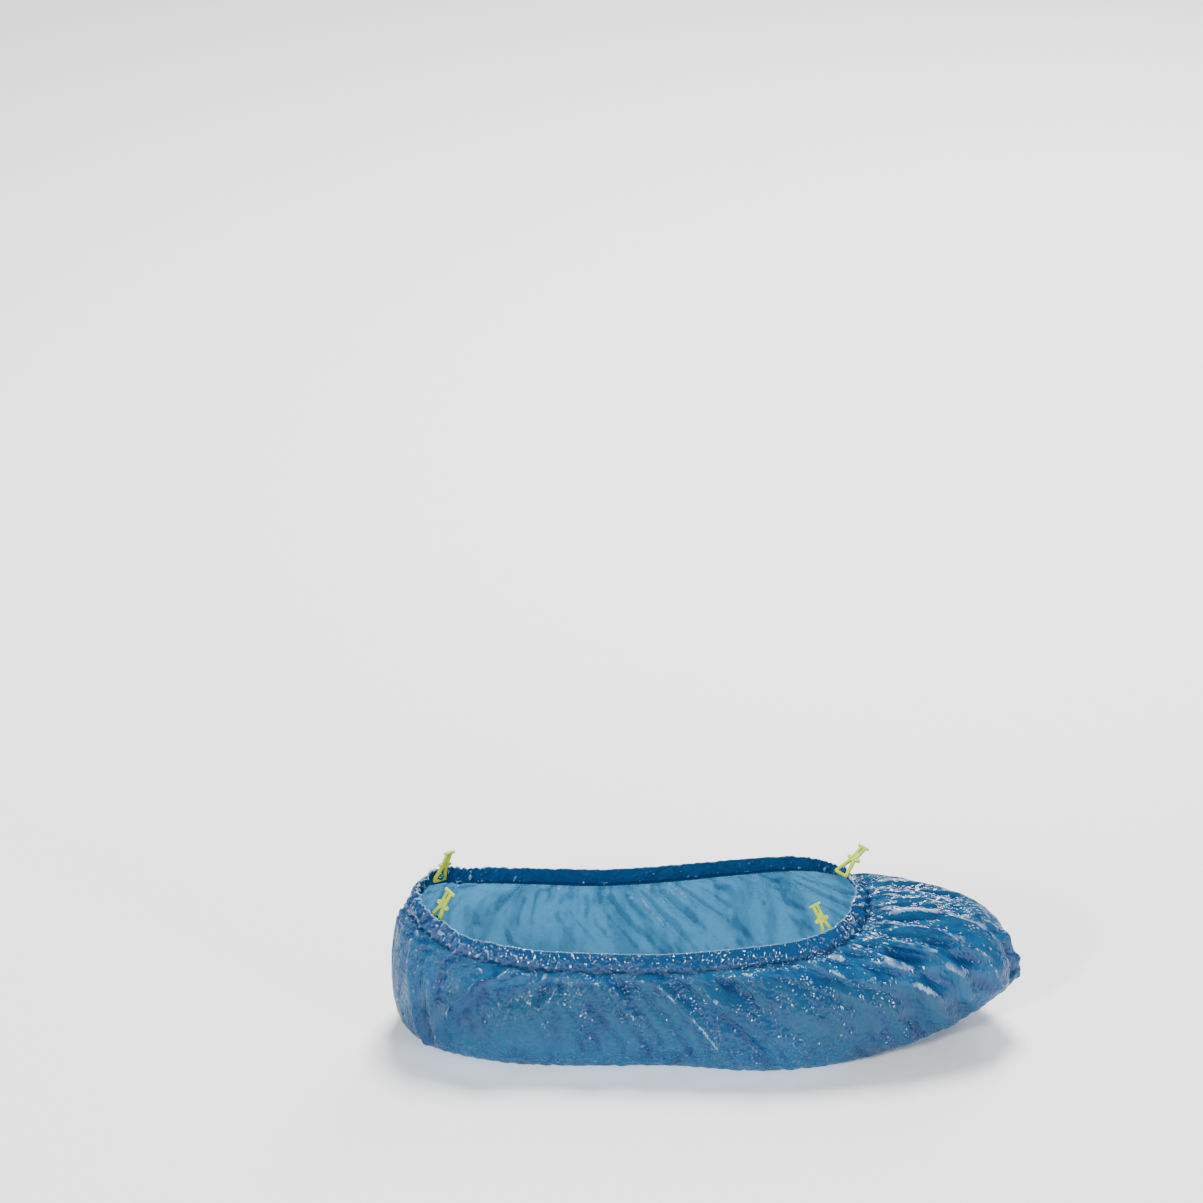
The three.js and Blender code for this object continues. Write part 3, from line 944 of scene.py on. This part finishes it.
@dataclass
class Gathering:
    """The cloth simulation by which the elastic draws the film in round the shoe's form."""

    frames: int = 34
    draw_in: int = 22              # frame at which the opening has its worn size
    scale: float = 10.0            # it is worked out at this scale
    excess: float = 1.07           # film over what the form needs
    hold_weight: float = 0.5       # how strongly the shoe's form holds the film
    held_edge: float = 0.03        # downs beyond the hem where it is held fast,
    held_floor: Span = (1.75, 1.95)              # and where that starts again under the shoe
    pins: float = 1.0              # stiffness of the hold
    pull: float = 60.0             # stiffness against stretch
    shear: float = 8.0
    bend: float = 0.3
    drag: float = 4.0
    mass: float = 0.3              # of each vertex
    quality: int = 6
    inward: float = 2.5            # how far the film may sink from the plain form
    outward: float = 6.0           # and rise

    def run(self, sheet: CutSheet, worn: np.ndarray) -> np.ndarray:
        """Draws the slack film in.

        Args:
            sheet: The cut film.
            worn: Where it is drawn to.

        Returns:
            Where the vertices come to rest.
        """
        mesh = bpy.data.meshes.new("gathering")
        kept, owner = sheet.weld(mesh)
        unit_scale = MM * self.scale
        loose = (sheet.slack[kept] * unit_scale * self.excess).astype(np.float32)
        mesh.vertices.foreach_set("co", loose.ravel())
        film = link_object("gathering", mesh)
        held = film.vertex_groups.new(name="held")
        down = sheet.down[kept]
        firm = np.maximum(1 - smooth(down, 0.0, self.held_edge), smooth(down, *self.held_floor))
        for index, weight in enumerate(np.maximum(firm, self.hold_weight)):
            held.add([index], float(weight), "REPLACE")
        film.shape_key_add(name="slack")
        drawn = film.shape_key_add(name="worn")
        drawn.data.foreach_set("co", (worn[kept] * unit_scale).astype(np.float32).ravel())
        for value, moment in ((0.0, 1), (1.0, self.draw_in)):
            drawn.value = value
            drawn.keyframe_insert("value", frame=moment)
        cloth = film.modifiers.new("gather", "CLOTH")
        cloth.point_cache.frame_start, cloth.point_cache.frame_end = 1, self.frames
        settings = cloth.settings
        settings.quality = self.quality
        settings.mass = self.mass
        settings.air_damping = self.drag
        settings.tension_stiffness = settings.compression_stiffness = self.pull
        settings.shear_stiffness = self.shear
        settings.bending_stiffness = self.bend
        settings.vertex_group_mass = held.name
        settings.pin_stiffness = self.pins
        settings.effector_weights.gravity = 0.0
        scene = bpy.context.scene
        for step in range(1, self.frames + 1):
            scene.frame_set(step)
        graph = bpy.context.evaluated_depsgraph_get()
        rest = read(film.evaluated_get(graph).to_mesh().vertices, "co", 3)
        scene.frame_set(1)
        bpy.data.objects.remove(film)
        bpy.data.meshes.remove(mesh)
        return self.hold_near(sheet, rest[owner] / unit_scale)

    def hold_near(self, sheet: CutSheet, worn: np.ndarray) -> np.ndarray:
        """Keeps the gathered film near the plain form, as the shoe inside holds it.

        Args:
            sheet: The cut film.
            worn: The gathered places.

        Returns:
            The places that are kept.
        """
        move = worn - sheet.plain
        lift = np.einsum("ij,ij->i", move, sheet.out)
        room = np.where(lift > 0, self.outward, self.inward)
        side = move - sheet.out * lift[:, None]
        reach = np.linalg.norm(side, axis=1, keepdims=True)
        side *= np.minimum(1, self.outward / np.maximum(reach, TINY))
        return sheet.plain + side + sheet.out * (room * np.tanh(lift / room))[:, None]


@dataclass
class FilmBag:
    """The film: one sheet, welded at the heel and toe ends and gathered at the opening."""

    along: int = 180               # cells of the sheet, heel to toe
    across: int = 136              # cells from one edge of the opening to the other
    flat: Span = (0.25, 0.41)      # width and length of the cut sheet, metres
    gathering: Gathering = field(default_factory=Gathering)
    softenings: int = 2            # passes that round off the gathered film
    seed_wave: float = 0.8         # starts the elastic's small waves
    seed_count: float = 2.6        # of them per rib
    seed_reach: float = 0.4        # downs that they fade over
    pleat: float = 1.3             # height of the pleats as a share of the table's
    overhang: float = 0.9          # how far a pleat leans over its groove, per height
    least_cell: float = 0.05       # square of the smallest cell that counts for the lean
    packed: Span = (1.1, 2.6)      # slack per worn width that starts to look dense, and is
    sharpen: float = 0.9           # how much the folds are sharpened,
    sharpen_rounds: int = 7        # against this many rounds of neighbours
    crinkle: float = 0.22          # height of the fine crinkles
    crinkle_scale: Span = (210, 95)              # of them per metre, round and down
    crinkle_bend: float = 0.35     # how finely they are bent
    crinkle_mean: float = 1.2      # mean of their noise
    ridges: tuple = (1.0, 2.1, 3, 1.0, 2.0)      # roughness, step, octaves, offset and gain
    streak: float = 0.7            # height of the streaks at the toe
    streak_reach: float = 1.25     # downs that they fade over
    puff: float = 1.3              # height of the puffs under the hem
    puff_down: Span = (0.11, 0.06)               # their middle and reach down the wall
    puff_count: float = 4.5        # of them per rib
    calm_edge: float = 0.008       # metres of the hem's edge that aren't crumpled
    stray_scale: float = 90.0      # unevenness of the doubled bands, per metre
    crest: tuple = (4, 0.12, 0.45)               # rounds and bulges that mark a crest
    hollow: tuple = (8, -0.04, -0.36)            # and a hollow

    def build(self, finish: FilmFinish) -> bpy.types.Object:
        """Builds the film.

        Args:
            finish: Its material.

        Returns:
            The finished piece.
        """
        sheet = CutSheet(self.along, self.across)
        worn = sheet.plain + sheet.out * self.small_waves(sheet.rib, sheet.down)[:, None]
        worn = self.gathering.run(sheet, worn)
        worn = worn + self.pleats(sheet)
        self.mark(sheet, worn)
        made = sheet.made
        for vert, place in zip(made.verts, worn * MM):
            vert.co = place
        bmesh.ops.remove_doubles(made, verts=made.verts, dist=0.02 * MM)
        inner = [vert for vert in made.verts if not vert.is_boundary]
        axes = {"use_axis_x": True, "use_axis_y": True, "use_axis_z": True}
        for _ in range(self.softenings):
            bmesh.ops.smooth_vert(made, verts=inner, factor=0.5, **axes)
        piece = finish_piece(made, "film_bag", finish.material())
        self.refine(piece)
        skin = Skin(piece.data)
        flat = skin.flat()
        rib, down, _ = FORM.places(flat[:, 0] / self.flat[1], flat[:, 1] / self.flat[0])
        self.crumple(skin, flat, rib, down)
        skin.mark(CREST, *self.crest)
        skin.mark(HOLLOW, *self.hollow)
        skin.store(DOUBLED_AND_SHADE, self.doubled_and_shade(flat, rib, down))
        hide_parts("film_body")
        return piece

    @staticmethod
    def refine(piece: bpy.types.Object) -> None:
        """Subdivides the film once, smoothly.

        Args:
            piece: The film.
        """
        smoothing = piece.modifiers.new("smooth", "SUBSURF")
        smoothing.levels = smoothing.render_levels = 1
        graph = bpy.context.evaluated_depsgraph_get()
        fine = bpy.data.meshes.new_from_object(piece.evaluated_get(graph))
        piece.modifiers.clear()
        coarse, piece.data = piece.data, fine
        bpy.data.meshes.remove(coarse)
        fine.name = piece.name

    def doubled_and_shade(self, flat: np.ndarray, rib: np.ndarray, down: np.ndarray) -> np.ndarray:
        """Where the pleats double the film, a darker band that is partly painted shade.

        Args:
            flat: Each vertex's place on the flat sheet.
            rib: Its rib number.
            down: Its place down the wall.

        Returns:
            0 for one layer, up to 1.
        """
        spots = [Vector((u * self.stray_scale, v * self.stray_scale, 2.0)) for u, v in flat]
        stray = np.array([noise.noise_vector(spot) for spot in spots])
        share = FORM.doubled_and_shade(rib + 0.055 * stray[:, 0], down + 0.05 * stray[:, 1])
        return share * np.clip(0.75 + 0.9 * stray[:, 2], 0.2, 1)

    def crumple(self, skin: Skin, flat: np.ndarray, rib: np.ndarray, down: np.ndarray) -> None:
        """Sharpens the folds, and adds streaks that fan out of the hem and fine crinkles.

        Args:
            skin: The fine mesh.
            flat: Each vertex's place on the flat sheet.
            rib: Its rib number.
            down: Its place down the wall.
        """
        lift = np.clip(self.sharpen * skin.bulge(self.sharpen_rounds) / MM, -1.0, 1.0)
        line = rib - FORM.slant(rib) * down
        reach = self.streak * FORM.drawn_in(rib) * np.exp(-((down / self.streak_reach) ** 2))
        for index, (u, v) in enumerate(flat):
            place = Vector((u * self.crinkle_scale[0], v * self.crinkle_scale[1], 0.0))
            bent = place + noise.noise_vector(place * self.crinkle_bend)
            ridge = noise.ridged_multi_fractal(bent, *self.ridges)
            lift[index] += self.crinkle * (ridge - self.crinkle_mean)
            wide = noise.noise(Vector((line[index] * 2.4, down[index] * 0.7, 5.0)))
            thin = noise.noise(Vector((line[index] * 6.0, down[index] * 1.1, 9.0)))
            lift[index] += reach[index] * (1.3 - 4 * abs(wide) + 0.6 * (1 - 4 * abs(thin)))
        edge = np.minimum(flat[:, 1], self.flat[0] - flat[:, 1]) / self.calm_edge
        lift = lift * np.clip(edge, 0.1, 1) + self.puffs(rib, down)
        skin.lift(lift * MM)

    def puffs(self, rib: np.ndarray, down: np.ndarray) -> np.ndarray:
        """Small puffs of film just under the hem's weld.

        Args:
            rib: Rib numbers.
            down: Places down the wall.

        Returns:
            Their height.
        """
        swell = [noise.noise(Vector((place * self.puff_count, 3.0, 0.0))) for place in rib]
        middle, reach = self.puff_down
        return self.puff * (0.5 + np.array(swell)) * np.exp(-(((down - middle) / reach) ** 2))

    def pleats(self, sheet: CutSheet) -> np.ndarray:
        """How the pleats move the film: out along its normal and over towards their groove.

        Args:
            sheet: The cut film.

        Returns:
            Each vertex's move.
        """
        lift = FORM.relief(sheet.rib, sheet.down) * self.pleat
        grid = sheet.grid(sheet.plain)
        slope = np.zeros_like(grid)
        for axis, rise in enumerate(np.gradient(sheet.grid(lift))):
            step = np.gradient(grid, axis=axis)
            square = np.maximum((step**2).sum(-1, keepdims=True), self.least_cell)
            slope += rise[..., None] * step / square
        lean = slope.reshape(-1, 3) * np.abs(lift)[:, None] * self.overhang
        return sheet.out * lift[:, None] + lean

    def small_waves(self, rib: np.ndarray, down: np.ndarray) -> np.ndarray:
        """Small waves under the hem, where the elastic draws the film in."""
        phase = 2 * np.pi * rib * self.seed_count + 1.3 * np.sin(rib * 2.1) + 0.8 * np.sin(rib * 5.3)
        return self.seed_wave * np.sin(phase) * np.exp(-down / self.seed_reach)

    def mark(self, sheet: CutSheet, worn: np.ndarray) -> None:
        """Stores the sheet's flat coordinates and how densely it is gathered.

        Args:
            sheet: The cut film.
            worn: The worn places.
        """
        loose, width = (
            np.linalg.norm(np.gradient(sheet.grid(points), axis=0), axis=-1)
            for points in (sheet.slack, worn)
        )
        density = smooth(loose / np.maximum(width, 0.2), *self.packed).ravel()
        layer = sheet.made.verts.layers.float.new(GATHER)
        flat = sheet.made.loops.layers.uv.new(SHEET_UV)
        for vert in sheet.made.verts:
            vert[layer] = float(density[vert.index])
            place = (sheet.x[vert.index] * self.flat[1], sheet.y[vert.index] * self.flat[0])
            for loop in vert.link_loops:
                loop[flat].uv = place


# ------------------------------------------------------------------ hem


class Seat(NamedTuple):
    """Where a dispenser clip hooks on the hem."""

    name: str
    rib: float
    flipped: bool = False      # folded outward over the film


SEATS = (
    Seat("clip_front_outer", 7.9),
    Seat("clip_front_inner", AROUND - 8.4, flipped=True),
    Seat("clip_heel_outer", 1.1),
    Seat("clip_heel_inner", AROUND - 1.1),
)


@dataclass(frozen=True)
class HemCourse:
    """The hem's way round the opening, and the clips' places on it."""

    height: float = 10.0
    wall: float = 1.8
    bunch: float = 0.7             # extra thickness at the heel and toe ends
    side_ruche: float = 0.45       # room for its ruches along the sides
    end_ruche: float = 0.8         # and at the two ends
    lean: float = 0.5              # 0 follows the wall's slope, 1 stands upright
    film_wall: float = 1.0
    gap: float = 0.3               # air between the hem and its neighbours
    inner_bulge: float = 0.62      # how far its inner face stands in, of its thickness
    top_bulge: float = 0.4         # and its top edge
    clip_thick: float = 1.6
    clip_below: float = 5.4        # how far a clip's loop reaches below the hem's top edge
    clip_dip: float = 12.0         # degrees that a flipped clip dips towards the film
    tuft_rise: float = 3.15        # where the hem comes through a clip's loop

    def axes(self, rib: np.ndarray) -> tuple[np.ndarray, np.ndarray, np.ndarray, np.ndarray]:
        """The opening's edge and the hem's directions at rib numbers.

        Args:
            rib: Rib numbers.

        Returns:
            Points of the edge, and unit vectors along, up and outward.
        """
        rim = FORM.on(Ring.RIM, rib)
        along = unit(FORM.on(Ring.RIM, rib + 0.05) - FORM.on(Ring.RIM, rib - 0.05))
        slope = unit(rim - FORM.on(Ring.CROWN, rib))
        up = slope * (1 - self.lean) + np.array([0.0, 0.0, self.lean])
        up = unit(up - along * np.einsum("...i,...i->...", up, along)[..., None])
        out = np.cross(along, up)
        return rim - out * self.film_wall / 2, along, up, out

    @staticmethod
    def near_end(rib: np.ndarray) -> np.ndarray:
        """1 at the heel and toe ends of the opening, 0 along its sides."""
        return np.cos(np.pi * rib / TOE) ** 4

    def seat(self, seat: Seat) -> Matrix:
        """A clip's place: its width, length and thickness as axes.

        Args:
            seat: Which clip.

        Returns:
            The matrix.
        """
        foot, along, up, out = (Vector(v) for v in self.axes(np.array(seat.rib)))
        top = foot + up * (self.gap + self.height)
        end = float(self.near_end(seat.rib))
        thick = self.wall + self.bunch * end
        ruche = self.side_ruche + (self.end_ruche - self.side_ruche) * end
        clear = self.gap + self.clip_thick / 2
        if seat.flipped:
            dip = math.radians(self.clip_dip)
            long = out * math.cos(dip) - up * math.sin(dip)
            face = -along.cross(long)
            over = clear + (self.top_bulge * thick + ruche) * math.tan(dip)
            origin = top + face * over - long * self.tuft_rise
            wide = long.cross(face)
        else:
            wide, long, face = along, up, out
            inward = self.inner_bulge * thick + ruche + clear
            origin = top - up * self.clip_below - out * inward
        columns = [(*axis, 0.0) for axis in (wide, long, face)] + [(*origin, 1.0)]
        return Matrix(columns).transposed()


COURSE = HemCourse()


@dataclass
class ElasticHem:
    """The band round the opening: the film's edge doubled over the elastic that draws it in."""

    columns: int = 1600
    around: int = 24               # points round its section
    overlap: float = 0.8           # the band starts this far below the film's edge
    side_thick: float = 1.3        # thickness along the sides
    side_crumple: float = 0.32     # height of the crumples there
    end_crumple: float = 1.5       # and at the two ends
    end_wave: float = 1.4          # how uneven the top edge is at the ends
    side_wave: float = 0.12        # and along the sides, as a share of that
    side_gather: float = 0.15      # how densely it is gathered along the sides
    end_gather: float = 0.85       # and at the two ends
    pinch: float = 0.55            # share of the thickness that the weld takes away
    pinch_rise: Span = (0.10, 0.24)              # how high up the band the weld reaches
    roundness: float = 0.7         # below 1 squares the section's faces
    clip_press: float = 0.7        # share of the crumples that a clip presses flat
    clip_reach: float = 0.3        # ribs to either side of it
    tuft_radius: float = 1.9       # of the hem that comes through a clip's loop
    tuft_shape: Triple = (0.62, 1.0, 1.05)       # its width, length and thickness, of that
    tuft_gather: float = 0.8
    crest: tuple = (3, 0.07, 0.25)               # rounds and bulges that mark a crest
    hollow: tuple = (5, -0.05, -0.30)            # and a hollow

    def build(self, finish: HemFinish) -> bpy.types.Object:
        """Builds the hem.

        Args:
            finish: Its material.

        Returns:
            The finished piece.
        """
        made = bmesh.new()
        bmesh.ops.create_grid(made, x_segments=self.columns, y_segments=self.around, size=0.5)
        places = np.array([vert.co[:2] for vert in made.verts]) + 0.5
        rib, turn = places[:, 0] * AROUND, places[:, 1] * 2 * np.pi
        course = self.lengths(places[:, 0])
        points, rise = self.band(rib, turn, course)
        density = self.side_gather + (self.end_gather - self.side_gather) * COURSE.near_end(rib)
        gather = made.verts.layers.float.new(GATHER)
        flat = made.loops.layers.uv.new(SHEET_UV)
        for index, vert in enumerate(made.verts):
            vert.co = points[index] * MM
            vert[gather] = float(density[index])
            for loop in vert.link_loops:
                loop[flat].uv = (course[index] * MM, rise[index] * COURSE.height * MM)
        bmesh.ops.remove_doubles(made, verts=made.verts, dist=0.001 * MM)
        bmesh.ops.recalc_face_normals(made, faces=made.faces)
        for seat in SEATS:
            self.tuft(made, seat, gather)
        piece = finish_piece(made, "hem_band", finish.material())
        skin = Skin(piece.data)
        skin.mark(CREST, *self.crest)
        skin.mark(HOLLOW, *self.hollow)
        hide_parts("elastic_hem")
        return piece

    @staticmethod
    def lengths(share: np.ndarray) -> np.ndarray:
        """Lengths along the opening's edge from the heel end.

        Args:
            share: 0 at the heel end, 1 all the way round.

        Returns:
            The length to each.
        """
        steps = np.linspace(0, 1, 801)
        edge = FORM.on(Ring.RIM, steps * AROUND)
        pieces = np.linalg.norm(np.diff(edge, axis=0), axis=1)
        return np.interp(share, steps, np.concatenate(([0.0], np.cumsum(pieces))))

    def band(
        self, rib: np.ndarray, turn: np.ndarray, course: np.ndarray
    ) -> tuple[np.ndarray, np.ndarray]:
        """The crumpled band's points.

        Args:
            rib: Rib number of each vertex.
            turn: Its place round the section, 0 to 2 pi, from the foot over the outer face.
            course: Its distance along the band.

        Returns:
            The points, and how high up the band each is, 0 to 1.
        """
        end = COURSE.near_end(rib)
        edge, _, up, out = COURSE.axes(rib)
        side, rise = np.sin(turn), 0.5 - 0.5 * np.cos(turn)
        stand, swell, wave = self.crumples(course, rise, side).T
        depth = self.side_crumple + (self.end_crumple - self.side_crumple) * end
        depth *= self.calm(rib, side)
        thick = self.side_thick + (COURSE.wall + COURSE.bunch - self.side_thick) * end
        weld = 1 - self.pinch * (1 - end) * (1 - smooth(rise, *self.pinch_rise))
        taper = weld * (1.15 - 0.75 * smooth(rise, 0.55, 1.0) * (1 - 0.6 * end))
        face = np.sign(side) * np.abs(side) ** self.roundness
        outward = 0.5 * thick * face * taper * (1 + 0.3 * swell) + depth * stand * weld
        upward = rise * (COURSE.height + COURSE.gap + self.overlap) - self.overlap
        uneven = self.end_wave * (self.side_wave + (1 - self.side_wave) * end)
        upward += uneven * wave * smooth(rise, 0.35, 1.0)
        return edge + out * outward[:, None] + up * upward[:, None], rise

    @staticmethod
    def crumples(course: np.ndarray, rise: np.ndarray, side: np.ndarray) -> np.ndarray:
        """Crumples that run across the band: outward, in thickness, and along its top edge.

        Args:
            course: Distance along the band.
            rise: How high up the band, 0 to 1.
            side: -1 on the inner face, 1 on the outer.

        Returns:
            Three values about -1 to 1 per vertex.
        """
        result = np.empty((len(course), 3))
        for index, (s, h, f) in enumerate(zip(course, rise, side)):
            wide = noise.noise_vector(Vector((s / 4.6, h * 1.3, 0.15 * f)))
            fine = noise.noise_vector(Vector((s / 1.9 + 40, h * 3.2 + wide.z, 0.4 * f)))
            ridge = 1.2 - 4.0 * abs(wide.x)
            result[index] = (0.62 * ridge + 0.75 * fine.x, fine.y + wide.y, wide.y + 0.8 * fine.z)
        return result

    def calm(self, rib: np.ndarray, side: np.ndarray) -> np.ndarray:
        """How much of the crumples is left where a clip presses the inner face flat.

        Args:
            rib: Rib numbers.
            side: Below 0 on the inner face.

        Returns:
            1 almost everywhere, less behind a clip.
        """
        result = np.ones_like(rib)
        for seat in SEATS:
            if not seat.flipped:
                near = np.exp(-((FORM.apart(rib, seat.rib) / self.clip_reach) ** 2))
                result *= 1 - self.clip_press * near * (side < 0)
        return result

    def tuft(self, made: bmesh.types.BMesh, seat: Seat, gather: bmesh.types.BMLayerItem) -> None:
        """Adds the bit of hem that is pulled through a clip's loop.

        Args:
            made: The hem's mesh.
            seat: The clip.
            gather: The layer that says how densely the film is gathered.
        """
        side = 1 if seat.flipped else -1
        ball = bmesh.ops.create_icosphere(made, subdivisions=4, radius=self.tuft_radius)
        place = COURSE.seat(seat)
        centre = Vector((0.0, COURSE.tuft_rise, side * 0.2))
        for vert in ball["verts"]:
            bent = vert.co + 0.5 * noise.noise_vector(vert.co * 0.8)
            ridge = noise.ridged_multi_fractal(bent * 0.9, 1.0, 2.1, 3, 1.0, 2.0)
            shape = vert.co * (0.82 + 0.16 * ridge) * Vector(self.tuft_shape)
            vert.co = place @ (centre + shape) * MM
            vert[gather] = self.tuft_gather
        flat = made.loops.layers.uv[SHEET_UV]
        for loop in (loop for vert in ball["verts"] for loop in vert.link_loops):
            loop[flat].uv = (loop.vert.co.x, 0.005 + loop.vert.co.z * 0.3)


# ------------------------------------------------------------------ clips


@dataclass
class DispenserClip:
    """A flat moulded clip: a triangular loop, a crossbar, a slotted shaft and a T-bar."""

    seat: Seat
    length: float = 20.0
    bar: float = 6.4               # the T-bar's width
    bar_deep: float = 1.2
    shaft: float = 3.6
    slot: float = 0.7
    slot_long: float = 3.6
    cross: float = 8.0             # the crossbar's width
    cross_deep: float = 2.0
    cross_from: float = 8.0        # between the middles of crossbar and T-bar
    base: float = 8.4              # the loop's width
    leg: float = 1.5
    leg_lean: float = 1.15         # the leg's width along the base, of its own
    round: float = 1.2             # the loop's corners
    lean: float = 22.5             # degrees that the loop's corner turns past upright
    soften: float = 0.22           # rounding of the edges
    insets: tuple[Span, ...] = ((0.3, 0.7), (0.7, 0.3))   # steps of that: inward and upward
    steps: int = 6                 # in a rounded corner
    sharp: float = 50.0            # degrees from which an edge isn't shaded smooth

    def build(self, material: bpy.types.Material) -> bpy.types.Object:
        """Builds the clip.

        Args:
            material: Its plastic.

        Returns:
            The finished piece.
        """
        made = bmesh.new()
        for loop in (self.outline(), self.window(), self.opening()):
            verts = [made.verts.new((x, y, 0.0)) for x, y in loop]
            for here, there in zip(verts, verts[1:] + verts[:1]):
                made.edges.new((here, there))
        bmesh.ops.triangle_fill(made, edges=made.edges[:], use_beauty=True)
        core = COURSE.clip_thick - 2 * self.soften
        raised = bmesh.ops.extrude_face_region(made, geom=made.faces[:])
        top = [item for item in raised["geom"] if isinstance(item, bmesh.types.BMVert)]
        bmesh.ops.translate(made, verts=top, vec=(0.0, 0.0, core))
        bmesh.ops.recalc_face_normals(made, faces=made.faces)
        for direction in (1, -1):
            self.soften_face(made, direction)
        bmesh.ops.translate(made, verts=made.verts, vec=(0.0, 0.0, -core / 2))
        place = Matrix.Scale(MM, 4) @ COURSE.seat(self.seat)
        bmesh.ops.transform(made, matrix=place, verts=made.verts)
        bmesh.ops.recalc_face_normals(made, faces=made.faces)
        piece = finish_piece(made, self.seat.name + "_moulded", material)
        piece.data.set_sharp_from_angle(angle=math.radians(self.sharp))
        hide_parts(self.seat.name)
        return piece

    def soften_face(self, made: bmesh.types.BMesh, direction: int) -> None:
        """Rounds the edges of the upper or lower flat face.

        Args:
            made: The clip's mesh.
            direction: 1 for the upper face, -1 for the lower.
        """
        for thickness, depth in self.insets:
            flat = [face for face in made.faces if face.normal.z * direction > 0.99]
            outermost = max(face.calc_center_median().z * direction for face in flat)
            flat = [f for f in flat if f.calc_center_median().z * direction > outermost - 0.01]
            bmesh.ops.inset_region(
                made,
                faces=flat,
                use_boundary=True,
                use_even_offset=True,
                thickness=thickness * self.soften,
                depth=depth * self.soften,
            )
            made.normal_update()

    def arc(self, x: float, y: float, radius: float, start: float, end: float) -> list[Span]:
        """Points of an arc: its centre, its radius, and its first and last angle in degrees."""
        angles = np.radians(np.linspace(start, end, self.steps))
        return [(x + radius * math.cos(a), y + radius * math.sin(a)) for a in angles]

    def outline(self) -> list[Span]:
        """The clip's outer edge, from the loop's base up one side and down the other.

        Returns:
            Its points.
        """
        middle = self.length - self.bar_deep / 2 - self.cross_from
        shaft, bar, top = self.shaft / 2, self.bar / 2, self.length - self.bar_deep
        corner, tip = self.base / 2 - self.round, (self.cross - self.cross_deep) / 2
        right = [
            *self.arc(corner, self.round, self.round, -90, self.lean),
            (shaft, middle - self.cross_deep / 2),
            *self.arc(tip, middle, self.cross_deep / 2, -90, 90),
            (shaft, middle + self.cross_deep / 2),
            (shaft, top),
            (bar, top),
            (bar, self.length),
        ]
        return right + [(-x, y) for x, y in reversed(right)]

    def window(self) -> list[Span]:
        """The opening inside the loop.

        Returns:
            Its corners.
        """
        inner = self.base / 2 - self.leg_lean * self.leg
        middle = self.length - self.bar_deep / 2 - self.cross_from
        high = middle - self.cross_deep / 2 - self.leg / 2
        half = self.slot / 2
        return [(-inner, self.leg), (inner, self.leg), (half, high), (-half, high)]

    def opening(self) -> list[Span]:
        """The corners of the slot in the shaft."""
        half, top = self.slot / 2, self.length - self.bar_deep
        return [(-half, top - self.slot_long), (half, top - self.slot_long), (half, top), (-half, top)]


# ------------------------------------------------------------------ studio


class Lamp(NamedTuple):
    """A square soft light aimed at the cover."""

    name: str
    place: Triple      # metres
    size: float        # its side, metres
    power: float       # watts


LAMPS = (
    Lamp("key", (-0.8, -1.6, 0.9), 0.3, 48.0),
    Lamp("fill", (1.5, -1.3, 0.55), 0.4, 26.0),
    Lamp("top", (0.1, 1.0, 1.9), 0.7, 105.0),
    Lamp("rim", (0.5, 1.6, 1.0), 0.6, 16.0),
)


@dataclass
class Studio:
    """Floor, lights and camera."""

    view_from: Triple = (0.0522, -2.0049, 1.1838)
    azimuth: float = 3.0015        # degrees that the camera turns left from straight ahead
    pitch: float = 25.2133         # degrees that it looks down
    focal: float = 134.66          # millimetres,
    sensor: float = 36.0           # on a sensor this wide
    near: float = 0.05             # metres at which it starts to see
    floor_reach: float = 15.0      # metres from the middle to the floor's edge
    aim: Triple = (0.0, 0.0, 0.04)               # where the lamps point, metres
    sky: float = 0.35              # strength of the white surroundings

    def camera(self) -> None:
        """Sets up the camera."""
        lens = bpy.data.cameras.new("camera")
        lens.lens, lens.sensor_width, lens.clip_start = self.focal, self.sensor, self.near
        seat = link_object("camera", lens)
        seat.location = self.view_from
        seat.rotation_euler = (math.radians(90 - self.pitch), 0.0, math.radians(self.azimuth))
        bpy.context.scene.camera = seat

    def floor(self, finish: FloorFinish) -> None:
        """Lays the floor.

        Args:
            finish: Its material.
        """
        made = bmesh.new()
        bmesh.ops.create_grid(made, x_segments=2, y_segments=2, size=self.floor_reach)
        mesh = bpy.data.meshes.new("floor")
        made.to_mesh(mesh)
        made.free()
        mesh.materials.append(finish.material())
        link_object("floor", mesh)

    def lights(self) -> None:
        """Sets up soft studio light."""
        for lamp in LAMPS:
            light = bpy.data.lights.new(lamp.name, "AREA")
            light.size, light.energy = lamp.size, lamp.power
            made = link_object(lamp.name, light)
            made.location = lamp.place
            towards = Vector(self.aim) - Vector(lamp.place)
            made.rotation_euler = towards.to_track_quat("-Z", "Y").to_euler()
        world = bpy.data.worlds.new("studio")
        world.use_nodes = True
        sky = world.node_tree.nodes["Background"]
        sky.inputs["Color"].default_value = (1.0, 1.0, 1.0, 1.0)
        sky.inputs["Strength"].default_value = self.sky
        bpy.context.scene.world = world


def main() -> None:
    """Builds the cover and its studio."""
    logging.basicConfig(level=logging.INFO, format="%(message)s")
    noise.seed_set(NOISE_SEED)
    studio = Studio()
    studio.camera()
    studio.floor(FloorFinish())
    studio.lights()
    film = FilmBag().build(FilmFinish())
    report(film)
    hem = ElasticHem().build(HemFinish())
    report(hem)
    plastic = ClipFinish().material()
    for seat in SEATS:
        report(DispenserClip(seat).build(plastic))


if __name__ == "__main__":
    main()
